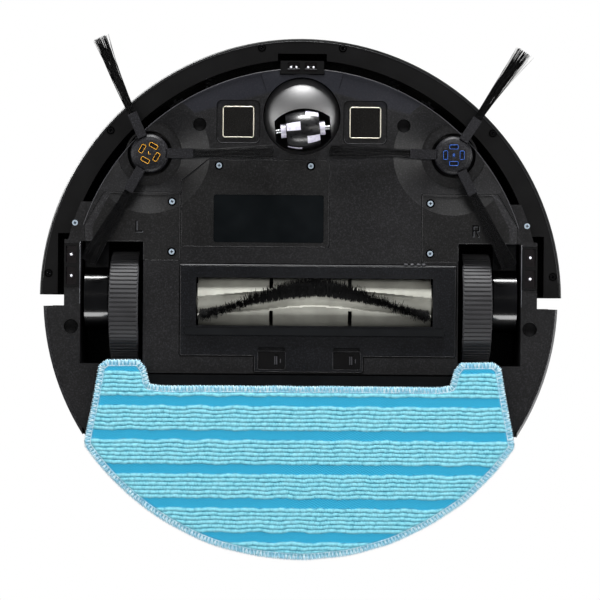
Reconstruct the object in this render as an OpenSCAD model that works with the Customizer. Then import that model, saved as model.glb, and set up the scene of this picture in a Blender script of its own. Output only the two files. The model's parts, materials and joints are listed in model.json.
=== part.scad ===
// Robot vacuum cleaner with a clip-on water tank and mop.
// +Z is up, the front of the robot is -Y, the origin is on the floor under the middle of the body.

/* [Body] */
// Outer radius of the bumper
body_r = 165; // [163:0.5:167]
// How far the bumper stands out at its sides
bumper_bulge = 1; // [0:0.5:2]
// Height of the top surface above the floor
body_h = 78; // [77:0.5:82]
// Height of the underside plate above the floor
clearance = 9; // [9:0.1:9.4]
// Wall thickness of the casings
wall = 2.5; // [2:0.1:2.6]
// Radius of the underside plate at the front
plate_r = 145; // [144:0.1:145.4]
// Half width of the neck between the bumper ends and the rear body
neck_x = 149.5; // [149:0.1:150]
// How far the bumper travels when it is hit
bumper_travel = 3; // [1:0.5:3]

/* [Drive wheels] */
// Radius of the tyre
tyre_r = 35; // [34.5:0.1:35.1]
// Width of the tyre
tyre_w = 18.5; // [17:0.5:18.5]
// Distance of the tyre's middle from the centre line
tyre_x = 111.6; // [111.4:0.1:111.8]
// Distance of the wheel centre behind the centre of the body
tyre_y = 6; // [5.5:0.1:6.3]

/* [Caster] */
// Radius of the caster dome
dome_r = 24; // [23:0.5:24]
// Distance of the dome's centre in front of the centre of the body
dome_y = 115; // [114:0.5:116]
// How far the caster wheel trails the swivel axis
caster_trail = 8.3; // [7:0.1:8.3]
// Swivel angle of the caster at rest
caster_yaw = -5; // [-8:1:8]
// Radius of the caster wheel at its middle
caster_r = 12.5; // [12.3:0.1:12.5]

/* [Side brushes] */
// Distance of a side brush axis from the centre line
brush_x = 96; // [95:0.5:96]
// Distance of a side brush axis in front of the centre of the body
brush_y = 90.7; // [90:0.1:91]
// Length of a side brush arm from its axis to the bristle tips
arm_r = 79; // [70:1:79]

/* [Main roller] */
// Radius of the roller over its bristles
roller_r = 19.5; // [18.6:0.1:19.5]
// Height of the roller axis
roller_z = 24; // [24:0.1:24.2]
// Distance of the roller axis behind the centre of the body
roller_y = 2.6; // [2.4:0.1:2.8]

/* [Mop] */
// Thickness of the mop cloth
cloth_t = 3.3; // [3:0.1:3.4]
// Thickness of the mop plate
mop_plate_t = 1.9; // [1.6:0.1:1.9]

/* [Hidden] */
$fn = 96;

eps = 0.01;
gap = 0.3;                                  // free space between parts of different bodies
plate_t = 2.5;                              // thickness of the underside plate
plate_top = clearance + plate_t;
shell_top = body_h - 3.4;                   // underside of the top shell
far = 400;                                  // larger than the whole body
left = -1;
right = 1;

// side walls and bumper
flange_z = 14;                              // underside of the bumper flange
flange_t = 2.5;
flange_in_r = 151;                          // inner edge of the bumper flange
skirt_r = body_r - 2;                       // outer radius of the rear body
bumper_r = body_r + bumper_bulge;           // the bumper is rounder than the body, with its middle set back
switch_turn = 14.2;                         // power switch, degrees back from straight left
rear_y = 6.2;                               // where the rear body starts
neck_front = -36;
front_wall_r = plate_r - 0.5;
bumper_end_y = -1;
window_half_angle = 38;
window_z = [38, 56];
flange_screw_r = 160.5;
flange_screw_angles = [-84.8, -49, -9.2, 9.2, 49, 84.8];
plate_screw_spots = [
    [-81.7, -60.3], [-81.7, -28.6], [81.7, -60.3], [81.7, -28.6],
    [-52.1, -83.4], [5.9, -83.4]
];
ledge_screw = [143, -46.5];                 // screw on the ledge on each side
ledge_r = 151.6;
ledge_z = [11.05, 13.6];
plate_screw_l = 3.9;
screw_head_t = 1.05;
blind_holes = [[-64.5, -109.2, 4.3], [64.5, -109.2, 4.3], [-145, 19, 4.6], [145, 19, 4.6]];
blind_depth = 2;

dish_r = 38;                                // shallow dish round each side brush
dish_in = 20.4;
dish_depth = 1.3;

ramp_start = [22, -128.2];                  // the front of the underside slopes up from here
ramp_turn = 15.6;
ramp_slope = 3.2;

// wheel wells
well_in = 99.5;                             // inner side of a well, from the centre line
well_out = 139.3;
well_front = -35;                           // where the well opens behind the wheel cover
well_back = 42.5;
well_top = 72.5;
cover_in = 76.4;                            // inner side of a wheel cover
cover_out = 136.5;
cover_front = -66;
pivot_y = -48;
pivot_z = 30;
pivot_r = 3;
pivot_front = -58;                          // front and height of the room round the pivot
pivot_room = [18.3, 46];
pivot_floor = 17.1;                         // underside of that room, just above the bumper's flange
arm_in = 122.3;                             // the arm lies between the tyre and the outer wall
arm_out = 137.2;
drum_r = 21.5;
drum_z = 34;
spindle_r = 3;
hub_r = tyre_r - 5.5;
motor_r = 11.5;

// main brush bay
bay_in = -70;                               // left end of the roller bay
bay_out = 88;
bay_wall = 4;
bay_r = roller_r + 0.9;
bay_rim_y = 30;                             // back and thickness of the rim that joins the bay to the plate
bay_rim_t = 1.6;
belt_room_r = 12.1;                          // room in the rim for the belt round the roller's pulley
guard = [-76, 98, -21.2, 36.7];             // left, right, front and back of the brush guard
guard_t = 2.8;
guard_z = clearance - 0.5;
window = [-66, 83.7, -12.6, 17.7];          // opening of the guard
tongue = [-29, 39.5, 47];                   // left, right and back of the guard's tongue
latch_x = [-18, 29.4];
latch_size = [16.2, 10.6];
latch_y = 39.5;
latch_travel = 2.5;
guard_edge = guard_t / 2;                   // radius of the guard's round hinge edge
pulley_r = 10;                              // pulley on the roller
pinion_r = 6;                               // pulley on the motor
belt_reach = 36;                            // distance between the two pulleys
pinion_y = roller_y - belt_reach * cos(50);
pinion_z = roller_z + belt_reach * sin(50);

duct = [-6, 24, 33, 40];                    // left, right, bottom and top of the air duct

// battery, board and fan
battery = [-70, 12, -80, -37, 14, 34];
battery_cover_spot = [-75.6, 17.6, -87, -32];
label_spot = [-55.3, 14.2, -65, -34.8];
label_t = 0.5;
contact_x = 40;
contact_y = -111;
contact_w = 20;
contact_frame = 27.4;
contact_depth = 1;
fan_x = 47;
fan_y = -55;
fan_r = 26;
fan_z = [14, 48];

// tank, mop and dustbin
tank_z = [5.8, 26];
tank_front = 49;
tank_half = 133.5;
tank_front_half = 128;                      // half the tank's width at its front
tank_side_y = 88;
tank_gap = 0.8;                             // gap between the tank and the plate beside it
tank_r = body_r - 1;
bin_half = 68;
bin_front = 66;
bin_z = [29.2, 72];
bin_r = skirt_r - 0.2;
shelf_z = [26.6, 28.6];
cap_spot = [86, 112];
cap_r = 6;

// ---------- shared shapes ----------

// Flat rectangle with round corners, centred on the origin
module round_rect(w, l, r) {
    square([w - 2 * r, l], center = true);
    square([w, l - 2 * r], center = true);
    for (x = [-1, 1], y = [-1, 1])
        translate([x * (w / 2 - r), y * (l / 2 - r)]) circle(r, $fn = 32);
}

// Box from its lowest to its highest corner
module span(a, b) {
    translate(a) cube(b - a);
}

// Ring about the vertical axis
module ring(r_out, r_in, z0, z1) {
    translate([0, 0, z0]) difference() {
        cylinder(h = z1 - z0, r = r_out, $fn = 180);
        translate([0, 0, -1]) cylinder(h = z1 - z0 + 2, r = r_in, $fn = 180);
    }
}

// Everything in front of y, or behind it
module front_of(y) {
    span([-far, -far, -far], [far, y, far]);
}

module behind(y) {
    span([-far, y, -far], [far, far, far]);
}

// Cylinder along X from x0 to x1 about a line at y, z
module rod_x(x0, x1, y, z, r) {
    translate([x0, y, z]) rotate([0, 90, 0]) cylinder(h = x1 - x0, r = r);
}

// Places its children at an angle from straight ahead, r from the centre
module around(angle, r) {
    rotate([0, 0, angle]) translate([0, -r, 0]) children();
}

// Mirrors its children to the side of sign s: -1 is left, 1 is right
module on_side(s) {
    mirror([s < 0 ? 1 : 0, 0, 0]) children();
}

// Pan-head screw seen from below, with a cross recess, its head's face at z = 0
module screw(head_r, length) {
    cross_w = head_r * 0.36;
    difference() {
        union() {
            cylinder(h = screw_head_t, r = head_r, $fn = 32);
            cylinder(h = length, r = head_r * 0.5, $fn = 24);
        }
        for (a = [0, 90])
            rotate([0, 0, a]) translate([-head_r * 0.65, -cross_w / 2, -eps])
                cube([head_r * 1.3, cross_w, 0.7]);
    }
}

// Open coil spring along Z, its ends cut off square
module coil(r, wire, h, turns) {
    sides = 6;
    per_turn = 12;
    rings = turns * per_turn;
    wire_r = wire / 2;
    points = [
        for (i = [0:rings], j = [0:sides - 1])
            let (a = 360 * i / per_turn, b = 360 * j / sides, out = r + wire_r * cos(b))
                [out * cos(a), out * sin(a), wire_r + (h - wire) * i / rings + wire_r * sin(b)]
    ];
    walls = [
        for (i = [0:rings - 1], j = [0:sides - 1])
            let (k = (j + 1) % sides)
                [i * sides + j, (i + 1) * sides + j, (i + 1) * sides + k, i * sides + k]
    ];
    first = [for (j = [0:sides - 1]) j];
    last = [for (j = [sides - 1:-1:0]) rings * sides + j];
    polyhedron(points, concat([first], walls, [last]));
}

// ---------- underside plate ----------

// Outline of a wheel cover on the right side, seen from above
module wheel_cover_outline(inset = 0) {
    i = inset;
    polygon([
        [cover_in + i, cover_front + i], [cover_out - 12 - i, cover_front + i],
        [cover_out - i, cover_front + 20 + i], [cover_out - i, well_front - i],
        [well_in - i, well_front - i], [well_in - i, -23 - i], [cover_in + i, -23 - i]
    ]);
}

// Outline of the battery cover
module battery_cover_outline(inset = 0) {
    i = inset;
    b = battery_cover_spot;
    polygon([
        [b[0] + i, -73.5 + i * 0.6], [b[0] + 16.5 + i * 0.6, b[2] + i], [b[1] - i, b[2] + i],
        [b[1] - i, b[3] - i], [b[0] + i, b[3] - i]
    ]);
}

// Front of the tank bay, rounded rear body and neck as one flat outline
module plate_outline() {
    intersection() {
        circle(plate_r, $fn = 180);
        translate([-far, -far]) square([2 * far, far]);
    }
    translate([-neck_x, neck_front]) square([2 * neck_x, 8 - neck_front]);
    intersection() {
        circle(skirt_r - 2.9, $fn = 180);
        translate([-far, rear_y]) square([2 * far, far]);
    }
    for (s = [left, right]) translate([s * brush_x, -brush_y]) circle(15.5);
}

// Opening of the plate that the tank fills, open to the rear
module tank_opening() {
    g = tank_gap;
    polygon([
        [-tank_front_half - g, tank_front - 1], [tank_front_half + g, tank_front - 1],
        [tank_half + g, tank_side_y], [tank_half + g, far], [-tank_half - g, far],
        [-tank_half - g, tank_side_y]
    ]);
}

module plate_holes() {
    for (s = [left, right]) {
        mirror([s < 0 ? 1 : 0, 0]) {
            translate([well_in, well_front]) square([well_out - well_in, well_back - well_front]);
            wheel_cover_outline(-gap);
            translate([brush_x, -brush_y]) circle(40);
            translate([139.8, -33.4]) square([11, 27.8]);
        }
        translate([s * contact_x, contact_y]) round_rect(contact_w + 0.4, contact_w + 0.4, 1.5);
    }
    battery_cover_outline(-gap);
    translate([-cover_in - 0.1, -66]) square([1, 34]);
    translate([0, -dome_y]) circle(dome_r + 0.5);
    translate([guard[0] - 0.4, guard[2] - 0.4])
        square([guard[1] - guard[0] + 0.8, guard[3] - guard[2] + 0.8]);
    translate([tongue[0] - 0.4, guard[3]])
        square([tongue[1] - tongue[0] + 0.8, tongue[2] - guard[3] + 0.4]);
    translate([-14.2, -far - 141]) square([28.4, far]);
    tank_opening();
    for (p = plate_screw_spots) translate([p[0], p[1]]) circle(1.9, $fn = 32);
}

// Shallow dish, raised ring and pocket round one side brush
module brush_dish() {
    translate([brush_x, -brush_y, clearance]) rotate_extrude()
        polygon([
            [dish_r + 2, 0], [dish_r + 2, plate_t], [dish_in, 4], [16.6, 4], [16.6, 12], [3.6, 12],
            [3.6, 9.6], [14.2, 9.6], [14.2, 1.9], [dish_in, 1.9], [dish_in, dish_depth], [dish_r, 0]
        ]);
}

// Space under the shallow dish, which also runs across the cover plates
module dish_space() {
    translate([brush_x, -brush_y, clearance]) rotate_extrude()
        polygon([[0, -1], [dish_r, -1], [dish_r, 0], [dish_in, dish_depth], [0, dish_depth]]);
}

// Walls round one drive wheel
module well_walls() {
    w = 2;
    span([well_out, neck_front, plate_top - eps], [well_out + w, well_back + w, well_top]);
    span([well_in - w, well_back, plate_top - eps], [well_out + w, well_back + w, well_top]);
    span([well_in - w, -22, plate_top - eps], [well_in, well_back + w, well_top]);
    rod_x(arm_out - 3, well_out + 1, pivot_y, pivot_z, pivot_r);
    difference() {
        span([arm_in, pivot_front - w, pivot_floor], [well_out + w, neck_front + 1, pivot_room[1] + w]);
        arm_room();
        cylinder(h = far, r = front_wall_r - 1, $fn = 180);
    }
}

// Room for the arm's pivot end, which reaches out past the front wall
module arm_room() span([arm_in - 2, pivot_front, pivot_room[0]], [well_out, neck_front + 2, pivot_room[1]]);

// Ledge behind the bumper's flange that holds one outer screw
module screw_ledge() {
    intersection() {
        ring(ledge_r, front_wall_r - 1, ledge_z[0], ledge_z[1]);
        span([130, pivot_front - 2, 0], [far, neck_front + 1, far]);
    }
}

// Bay that the roller turns in, open at the bottom, with a duct to the dustbin
module roller_bay() {
    difference() {
        union() {
            span([bay_in - bay_wall, roller_y - bay_r - 3, plate_top - eps],
                [bay_out + bay_wall, roller_y + bay_r + 3, roller_z]);
            rod_x(bay_in - bay_wall, bay_out + bay_wall, roller_y, roller_z, bay_r + 3);
        }
        rod_x(bay_in, bay_out, roller_y, roller_z, bay_r);
        span([bay_in, roller_y - bay_r, 0], [bay_out, roller_y + bay_r, roller_z]);
        rod_x(bay_in - bay_wall - 1, bay_out + bay_wall + 1, roller_y, roller_z, 3.05);
        span([bay_in - far, -far, -far], [bay_out + far, far, plate_top - eps]);
    }
    difference() {
        span([guard[0] - 3, guard[2] - 3, plate_top - eps], [well_in - eps, bay_rim_y, plate_top + bay_rim_t]);
        rod_x(guard[0] - 4, bay_in - bay_wall, roller_y, roller_z, belt_room_r);
        span([bay_in, roller_y - bay_r, 0], [bay_out, roller_y + bay_r, roller_z]);
    }
    difference() {
        span([duct[0] - 2.5, roller_y + 10, duct[2] - 2.5], [duct[1] + 2.5, bin_front - 0.6, duct[3] + 2.5]);
        rod_x(bay_in, bay_out, roller_y, roller_z, bay_r);
    }
}

// Floor of the space above the water tank, and the walls of the tank and dustbin bays
module rear_bays() {
    inner_r = skirt_r - 2.9;
    intersection() {
        cylinder(h = body_h, r = inner_r, $fn = 180);
        union() {
            span([-inner_r, tank_front - 2.5, shelf_z[0]], [inner_r, far, shelf_z[1]]);
            span([-tank_half - 2.8, tank_front - 3.5, plate_top - eps],
                [tank_half + 2.8, tank_front - 1.5, shelf_z[1]]);
            for (s = [left, right]) on_side(s) {
                span([tank_half + 0.8, tank_front - 3.5, plate_top - eps],
                    [tank_half + 2.8, 86, shelf_z[1]]);
                span([bin_half + 0.6, bin_front - 4, shelf_z[0]],
                    [bin_half + 2.6, far, shell_top - 0.2]);
            }
            span([-bin_half - 2.6, bin_front - 4, shelf_z[0]],
                [bin_half + 2.6, bin_front - 2, shell_top - 0.2]);
        }
    }
}

// Side walls of the front half and of the neck
module front_walls() {
    w = 2;
    intersection() {
        ring(front_wall_r, front_wall_r - w, plate_top - eps, shell_top - 0.2);
        front_of(neck_front + 1);
    }
    for (s = [left, right]) on_side(s) {
        span([neck_x - w, neck_front, plate_top - eps], [neck_x, 8, shell_top - 0.2]);
        span([138.5, neck_front, plate_top - eps], [neck_x, neck_front + w, shell_top - 0.2]);
    }
}

// Box round each drop sensor, with a little room on each side
module sensor_boxes(room = 0) {
    r = room;
    span([-13.75 - r, -149.8 - r, clearance - 0.6 - r], [13.75 + r, -141.6 + r, 20 + r]);
    for (s = [left, right]) on_side(s)
        span([140 - r, -33.2 - r, clearance - 0.6 - r], [neck_x + r, -5.8 + r, 20 + r]);
}

module chassis_base() color("#1b1b1c") {
    socket_top = 31;
    difference() {
        union() {
            translate([0, 0, clearance]) linear_extrude(plate_t) difference() {
                plate_outline();
                plate_holes();
            }
            intersection() {
                for (s = [left, right]) on_side(s) brush_dish();
                linear_extrude(body_h) difference() {
                    plate_outline();
                    for (s = [0, 1]) mirror([s, 0]) wheel_cover_outline(-gap);
                    battery_cover_outline(-gap);
                }
            }
            front_walls();
            for (s = [left, right]) on_side(s) screw_ledge();
            for (s = [left, right]) on_side(s) {
                well_walls();
                span([arm_in + 1, -8, well_top - 2], [well_out + eps, 8, well_top]);
            }
            roller_bay();
            rear_bays();
            translate([0, -dome_y, clearance]) difference() {
                cylinder(h = socket_top + 2 - clearance, r = dome_r + 2.5);
                translate([0, 0, -1]) cylinder(h = socket_top + 1 - clearance, r = dome_r + 0.5);
                cylinder(h = body_h, r = 4.05);
            }
            for (s = [left, right])
                translate([s * contact_x, contact_y, plate_top - 0.5]) linear_extrude(1.4)
                    round_rect(contact_w + 4, contact_w + 4, 3);
        }
        for (s = [left, right]) on_side(s)
            translate([ramp_start[0], ramp_start[1], clearance]) rotate([0, 0, ramp_turn])
                rotate([-ramp_slope, 0, 0]) span([0, -60, -20], [80, 0, 0]);
        sensor_boxes(0.15);
        span([duct[0], roller_y, duct[2]], [duct[1], far, duct[3]]);
        for (s = [left, right]) translate([s * contact_x, contact_y, 0]) {
            linear_extrude(clearance + contact_depth)
                round_rect(contact_frame, contact_frame, 3);
            linear_extrude(plate_top + 0.2) round_rect(contact_w + 0.4, contact_w + 0.4, 1.5);
        }
        for (h = blind_holes) translate([h[0], h[1], 0]) cylinder(h = clearance + blind_depth, r = h[2]);
        for (s = [left, right]) {
            on_side(s) arm_room();
            translate([s * ledge_screw[0], ledge_screw[1], 0]) cylinder(h = ledge_z[1] + 1, r = 0.95, $fn = 24);
            translate([s * brush_x, -brush_y, 0]) cylinder(h = clearance + 9.6, r = 14.2);
        }
    }
}

module rear_skirt() color("#1a1a1b") {
    difference() {
        intersection() {
            rotate_extrude($fn = 180) polygon([
                [skirt_r - 2.7, clearance + 1], [skirt_r - 1.6, clearance + 1], [skirt_r, 14],
                [skirt_r, 72], [skirt_r - 0.8, shell_top - 0.2], [skirt_r - 2.7, shell_top - 0.2]
            ]);
            behind(rear_y);
        }
        span([-tank_half - 4, 60, 0], [tank_half + 4, far, shelf_z[0] - 0.2]);
        span([-bin_half - 0.5, 0, shelf_z[0] + 2.2], [bin_half + 0.5, far, bin_z[1] + 0.4]);
        at_switch() span([skirt_r - 10, -3.5, 43.5], [far, 3.5, 56.5]);
    }
}

module top_shell() color("#202022") {
    difference() {
        rotate_extrude($fn = 180) polygon([
            [0, shell_top], [161, shell_top], [162.6, shell_top + 0.6], [162.6, shell_top + 1.4],
            [161.4, body_h - 0.7], [158, body_h], [0, body_h]
        ]);
        translate([0, 0, body_h - 0.8]) cylinder(h = 5, r = 118, $fn = 180);
        translate([0, -62, 0]) cylinder(h = far, r = 10.3);
        for (s = [left, right]) on_side(s) span([neck_x, -4.2, 0], [far, rear_y - 0.2, far]);
    }
}

module top_panel() color("#0c0c0e") {
    translate([0, 0, body_h - 0.8]) difference() {
        cylinder(h = 0.8, r = 117.7, $fn = 180);
        translate([0, -62, -1]) cylinder(h = 3, r = 10.3);
    }
}

module start_button() color("#2a2a2d") {
    translate([0, -62, 0]) {
        translate([0, 0, 72]) cylinder(h = body_h - 72, r = 10);
        translate([0, 0, 71.6]) cylinder(h = 2, r = 12);
    }
}

// Frame at the power switch, its X pointing out through the rear wall
module at_switch() rotate([0, 0, 180 - switch_turn]) children();

module power_switch() color("#151516") {
    at_switch() {
        span([skirt_r - 1.2, -3, 44], [skirt_r + 0.8, 3, 52]);
        span([skirt_r - 3.8, -2, 45], [skirt_r - 1.1, 2, 51]);
        span([skirt_r - 5, -5, 43], [skirt_r - 3.7, 5, 54]);
    }
}

// ---------- inside ----------

module battery_pack() color("#2f5fa8") {
    b = battery;
    cell_r = (b[5] - b[4]) / 2;
    for (y = [b[2] + cell_r, b[3] - cell_r]) rod_x(b[0], b[1], y, b[4] + cell_r, cell_r);
    span([b[0], b[2] + cell_r, b[4]], [b[1], b[3] - cell_r, b[5]]);
}

module battery_cover() color("#1c1c1d") {
    translate([0, 0, clearance]) difference() {
        linear_extrude(2) battery_cover_outline();
        translate([0, 0, -eps]) linear_extrude(label_t)
            translate([(label_spot[0] + label_spot[1]) / 2, (label_spot[2] + label_spot[3]) / 2])
                round_rect(label_spot[1] - label_spot[0] + 0.2, label_spot[3] - label_spot[2] + 0.2, 1.6);
        translate([0, 0, -clearance]) mirror([1, 0, 0]) dish_space();
        for (i = [4, 5]) translate([plate_screw_spots[i][0], plate_screw_spots[i][1], -1]) {
            cylinder(h = 2.2, r = 2.8, $fn = 32);
            cylinder(h = 5, r = 1.5, $fn = 32);
        }
    }
}

module cover_label() color("#0b0b0c") {
    translate([
        (label_spot[0] + label_spot[1]) / 2, (label_spot[2] + label_spot[3]) / 2, clearance + 0.1
    ]) linear_extrude(0.35)
        round_rect(label_spot[1] - label_spot[0] - 0.2, label_spot[3] - label_spot[2] - 0.2, 1.5);
}

module wheel_cover(s) {
    on_side(s) translate([0, 0, clearance]) difference() {
        linear_extrude(2) wheel_cover_outline();
        translate([0, 0, -clearance]) dish_space();
        for (i = [2, 3]) translate([plate_screw_spots[i][0], plate_screw_spots[i][1], -1]) {
            cylinder(h = 2.2, r = 2.8, $fn = 32);
            cylinder(h = 5, r = 1.5, $fn = 32);
        }
    }
}

module wheel_cover_left() color("#1c1c1d") wheel_cover(left);
module wheel_cover_right() color("#1c1c1d") wheel_cover(right);

module plate_screws() color("#9fb6c9") {
    for (p = plate_screw_spots) translate([p[0], p[1], clearance + 0.08]) screw(1.75, plate_screw_l);
    for (s = [left, right])
        translate([s * ledge_screw[0], ledge_screw[1], ledge_z[0] - screw_head_t]) screw(1.75, plate_screw_l);
}

module charge_contacts() color("#8d9094") {
    for (s = [left, right]) translate([s * contact_x, contact_y, clearance + 0.3]) {
        linear_extrude(2) round_rect(contact_w, contact_w, 1.4);
    }
}

module cliff_sensors() color("#101011") {
    difference() {
        sensor_boxes();
        cliff_pockets(2.2);
    }
}

// Pockets of the six sensor windows
module cliff_pockets(depth) {
    for (x = [-5.4, 5.4])
        translate([x, -145.8, clearance - 1]) linear_extrude(depth + 0.4) round_rect(7.5, 6, 0.8);
    for (s = [left, right], y = [-26.4, -13])
        translate([s * 145, y, clearance - 1]) linear_extrude(depth + 0.4) round_rect(6.6, 11, 0.8);
}

module cliff_windows() color("#26262a") {
    z = clearance + 0.9;
    for (x = [-5.4, 5.4]) translate([x, -145.8, z]) {
        linear_extrude(0.6) round_rect(7.3, 5.8, 0.7);
        for (dx = [-1.7, 1.7]) translate([dx, 0, eps]) mirror([0, 0, 1]) cylinder(h = 0.9, r = 1.3);
    }
    for (s = [left, right], y = [-26.4, -13]) translate([s * 145, y, z]) {
        linear_extrude(0.6) round_rect(6.4, 10.8, 0.7);
        translate([0, 0, eps]) mirror([0, 0, 1]) cylinder(h = 1, r = 2);
    }
}

module main_board() color("#1f6b3a") {
    b = battery;
    span([b[0] - 4, b[2] + 1, 38], [b[1] + 3, b[3] - 3, 39.6]);
    for (x = [b[0] + 4, b[1] - 4], y = [b[2] + 14, b[3] - 14])
        translate([x, y, b[5]]) cylinder(h = 4.1, r = 2.5, $fn = 32);
    for (x = [-55, -30, -5]) span([x, -70, 39.5], [x + 14, -56, 41.4]);
    span([-68, -78, 39.5], [-56, -72, 47]);
}

module fan_housing() color("#3a3a3d") {
    translate([fan_x, fan_y, fan_z[0]]) difference() {
        union() {
            cylinder(h = fan_z[1] - fan_z[0], r = fan_r);
            translate([0, fan_r - 14, 16]) cube([fan_r + 6, 14, 16]);
        }
        translate([0, 0, 12]) cylinder(h = 20, r = fan_r - 2.5);
        cylinder(h = far, r = 9);
        translate([10, fan_r - 12, 18]) cube([fan_r + 20, 10, 12]);
    }
}

module fan_impeller() color("#c8c8c4") {
    translate([fan_x, fan_y, fan_z[0] + 14]) {
        cylinder(h = 1.6, r = 21);
        cylinder(h = 16, r = 5);
        for (i = [0:6]) rotate([0, 0, i * 360 / 7])
            translate([4.6, -0.7, 1.5]) cube([15.6, 1.4, 12]);
    }
}

module brush_motor() color("#9a9c9f") {
    rod_x(-74, -38, pinion_y, pinion_z, 11);
    rod_x(-38.1, -35, pinion_y, pinion_z, 4);
    rod_x(-81, -73.9, pinion_y, pinion_z, 1.5);
}

module motor_pulley() color("#d8d2c0") {
    difference() {
        rod_x(-79.6, -75.4, pinion_y, pinion_z, pinion_r);
        rod_x(-90, -70, pinion_y, pinion_z, 1.55);
    }
}

module brush_pulley() color("#d8d2c0") {
    difference() {
        rod_x(-79.6, -75.4, roller_y, roller_z, pulley_r);
        rod_x(-90, -70, roller_y, roller_z, 3.02);
    }
}

module drive_belt() color("#151515") {
    translate([-79, 0, 0]) rotate([90, 0, 90]) linear_extrude(3) difference() {
        belt_loop(1.5);
        belt_loop(0.3);
    }
}

// Outline of the belt round its two pulleys, grown by g
module belt_loop(g) {
    hull() {
        translate([pinion_y, pinion_z]) circle(pinion_r + g, $fn = 48);
        translate([roller_y, roller_z]) circle(pulley_r + g, $fn = 48);
    }
}

module side_brush_motors() color("#4a4a4d") {
    for (s = [left, right]) on_side(s) translate([brush_x, -brush_y, 21.5]) {
        difference() {
            union() {
                cylinder(h = 14, r = 9);
                translate([-30, -9, 0]) cube([30, 18, 14]);
            }
            translate([0, 0, -1]) cylinder(h = 10, r = 3.45);
        }
        translate([-30, 0, 13.9]) cylinder(h = 22, r = 8);
    }
}

module bumper_switches() color("#26262a") {
    for (a = [-33, 33]) around(a, plate_r) {
        translate([-5, -4.4, 40]) cube([10, 4.8, 6]);
        translate([-1, -6.2, 42]) cube([2, 2, 2.4]);
    }
}

// ---------- bumper ----------

// Wedge of the half angle a to either side of straight ahead
module front_wedge(a, grow = 0) {
    rotate([0, 0, -90]) linear_extrude(far)
        polygon([[0, -grow], [far, -far * tan(a) - grow], [far, far * tan(a) + grow], [0, grow]]);
}

// Moves its children back to the bumper's own middle
module at_bumper() translate([0, bumper_bulge, 0]) children();

module bumper_shell() color("#18181a") {
    difference() {
        intersection() {
            at_bumper() rotate_extrude($fn = 180) polygon([
                [bumper_r - 2.5, flange_z], [bumper_r - 1.5, flange_z], [bumper_r - 0.3, 19],
                [bumper_r, 24], [bumper_r, 66], [bumper_r - 1, 71], [bumper_r - 4, shell_top - 0.5],
                [151.5, shell_top - 0.5], [151.5, shell_top - 2.5], [bumper_r - 4.6, shell_top - 2.5],
                [bumper_r - 3.4, 70.2], [bumper_r - 2.5, 66]
            ]);
            front_of(bumper_end_y);
        }
        intersection() {
            at_bumper() ring(far, bumper_r - 1.6, window_z[0], window_z[1]);
            front_wedge(window_half_angle);
        }
        for (s = [left, right]) on_side(s)
            span([0, neck_front - bumper_travel - 1, 0], [154, 0, far]);
    }
}

module bumper_window() color("#0a0a10") {
    intersection() {
        at_bumper() ring(bumper_r, bumper_r - 1.5, window_z[0] + 0.1, window_z[1] - 0.1);
        front_wedge(window_half_angle, -0.15);
    }
}

module bumper_flange() color("#1d1d1f") {
    z0 = flange_z + 0.2;
    difference() {
        intersection() {
            at_bumper() ring(bumper_r - 2.6, flange_in_r - 4, z0, z0 + flange_t);
            front_of(bumper_end_y - 0.5);
        }
        cylinder(h = far, r = flange_in_r, $fn = 180);
        span([-15.5, -154.8, 0], [15.5, 0, far]);
        for (s = [left, right]) on_side(s)
            span([0, neck_front - bumper_travel - 1, 0], [154, 0, far]);
        for (a = flange_screw_angles) around(a, flange_screw_r) {
            cylinder(h = flange_z + 1.4, r = 2, $fn = 32);
            cylinder(h = far, r = 1.1, $fn = 24);
        }
    }
}

module bumper_screws() color("#3a3a3c") {
    for (a = flange_screw_angles) around(a, flange_screw_r)
        translate([0, 0, flange_z + 0.28]) screw(1.8, 6);
}

module bumper_springs() color("#a7abb0") {
    for (s = [left, right])
        translate([s * 60, -132.6, 58]) rotate([90, 0, 0]) coil(3, 1, 17, 6);
}

// ---------- caster ----------

// The caster's swivelled frame, with its origin on the swivel axis at floor height
module caster_frame() {
    translate([0, -dome_y, 0]) rotate([0, 0, caster_yaw]) children();
}

// Barrel about the caster axle, r at its middle
module barrel(r, half_w, end_r) {
    bulge = r - end_r;
    arc_r = (half_w * half_w + bulge * bulge) / (2 * bulge);
    translate([0, caster_trail, caster_r]) rotate([0, 90, 0]) intersection() {
        rotate_extrude() intersection() {
            translate([r - arc_r, 0]) circle(arc_r);
            translate([0, -half_w]) square([r + 1, 2 * half_w]);
        }
    }
}

module caster_dome() color("#17171a") {
    low = 5.5;
    side_z = 14;
    cap_r = (dome_r * dome_r + pow(side_z - low, 2)) / (2 * (side_z - low));
    caster_frame() difference() {
        union() {
            intersection() {
                translate([0, 0, low]) cylinder(h = 28.5 - low, r = dome_r);
                translate([0, 0, low + cap_r]) sphere(cap_r, $fn = 96);
            }
            cylinder(h = 36, r = 4);
        }
        barrel(caster_r + 1.9, 17.6, 7);
        translate([-25, caster_trail - 2, 0]) cube([50, 4, caster_r - 6]);
        cylinder(h = 27, r = 4.2);
        translate([-17.2, caster_trail, caster_r]) rotate([0, 90, 0]) cylinder(h = 34.4, r = 1.52);
    }
}

module caster_axle() color("#8f9397") {
    caster_frame() rod_x(-17, 17, caster_trail, caster_r, 1.5);
}

module caster_wheel() color("#e6e6e6") {
    caster_frame() difference() {
        union() {
            barrel(caster_r, 10.5, 10.4);
            rod_x(-14, 14, caster_trail, caster_r, 4.4);
        }
        rod_x(-15, 15, caster_trail, caster_r, 1.56);
    }
}

// ---------- drive wheels ----------

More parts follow.
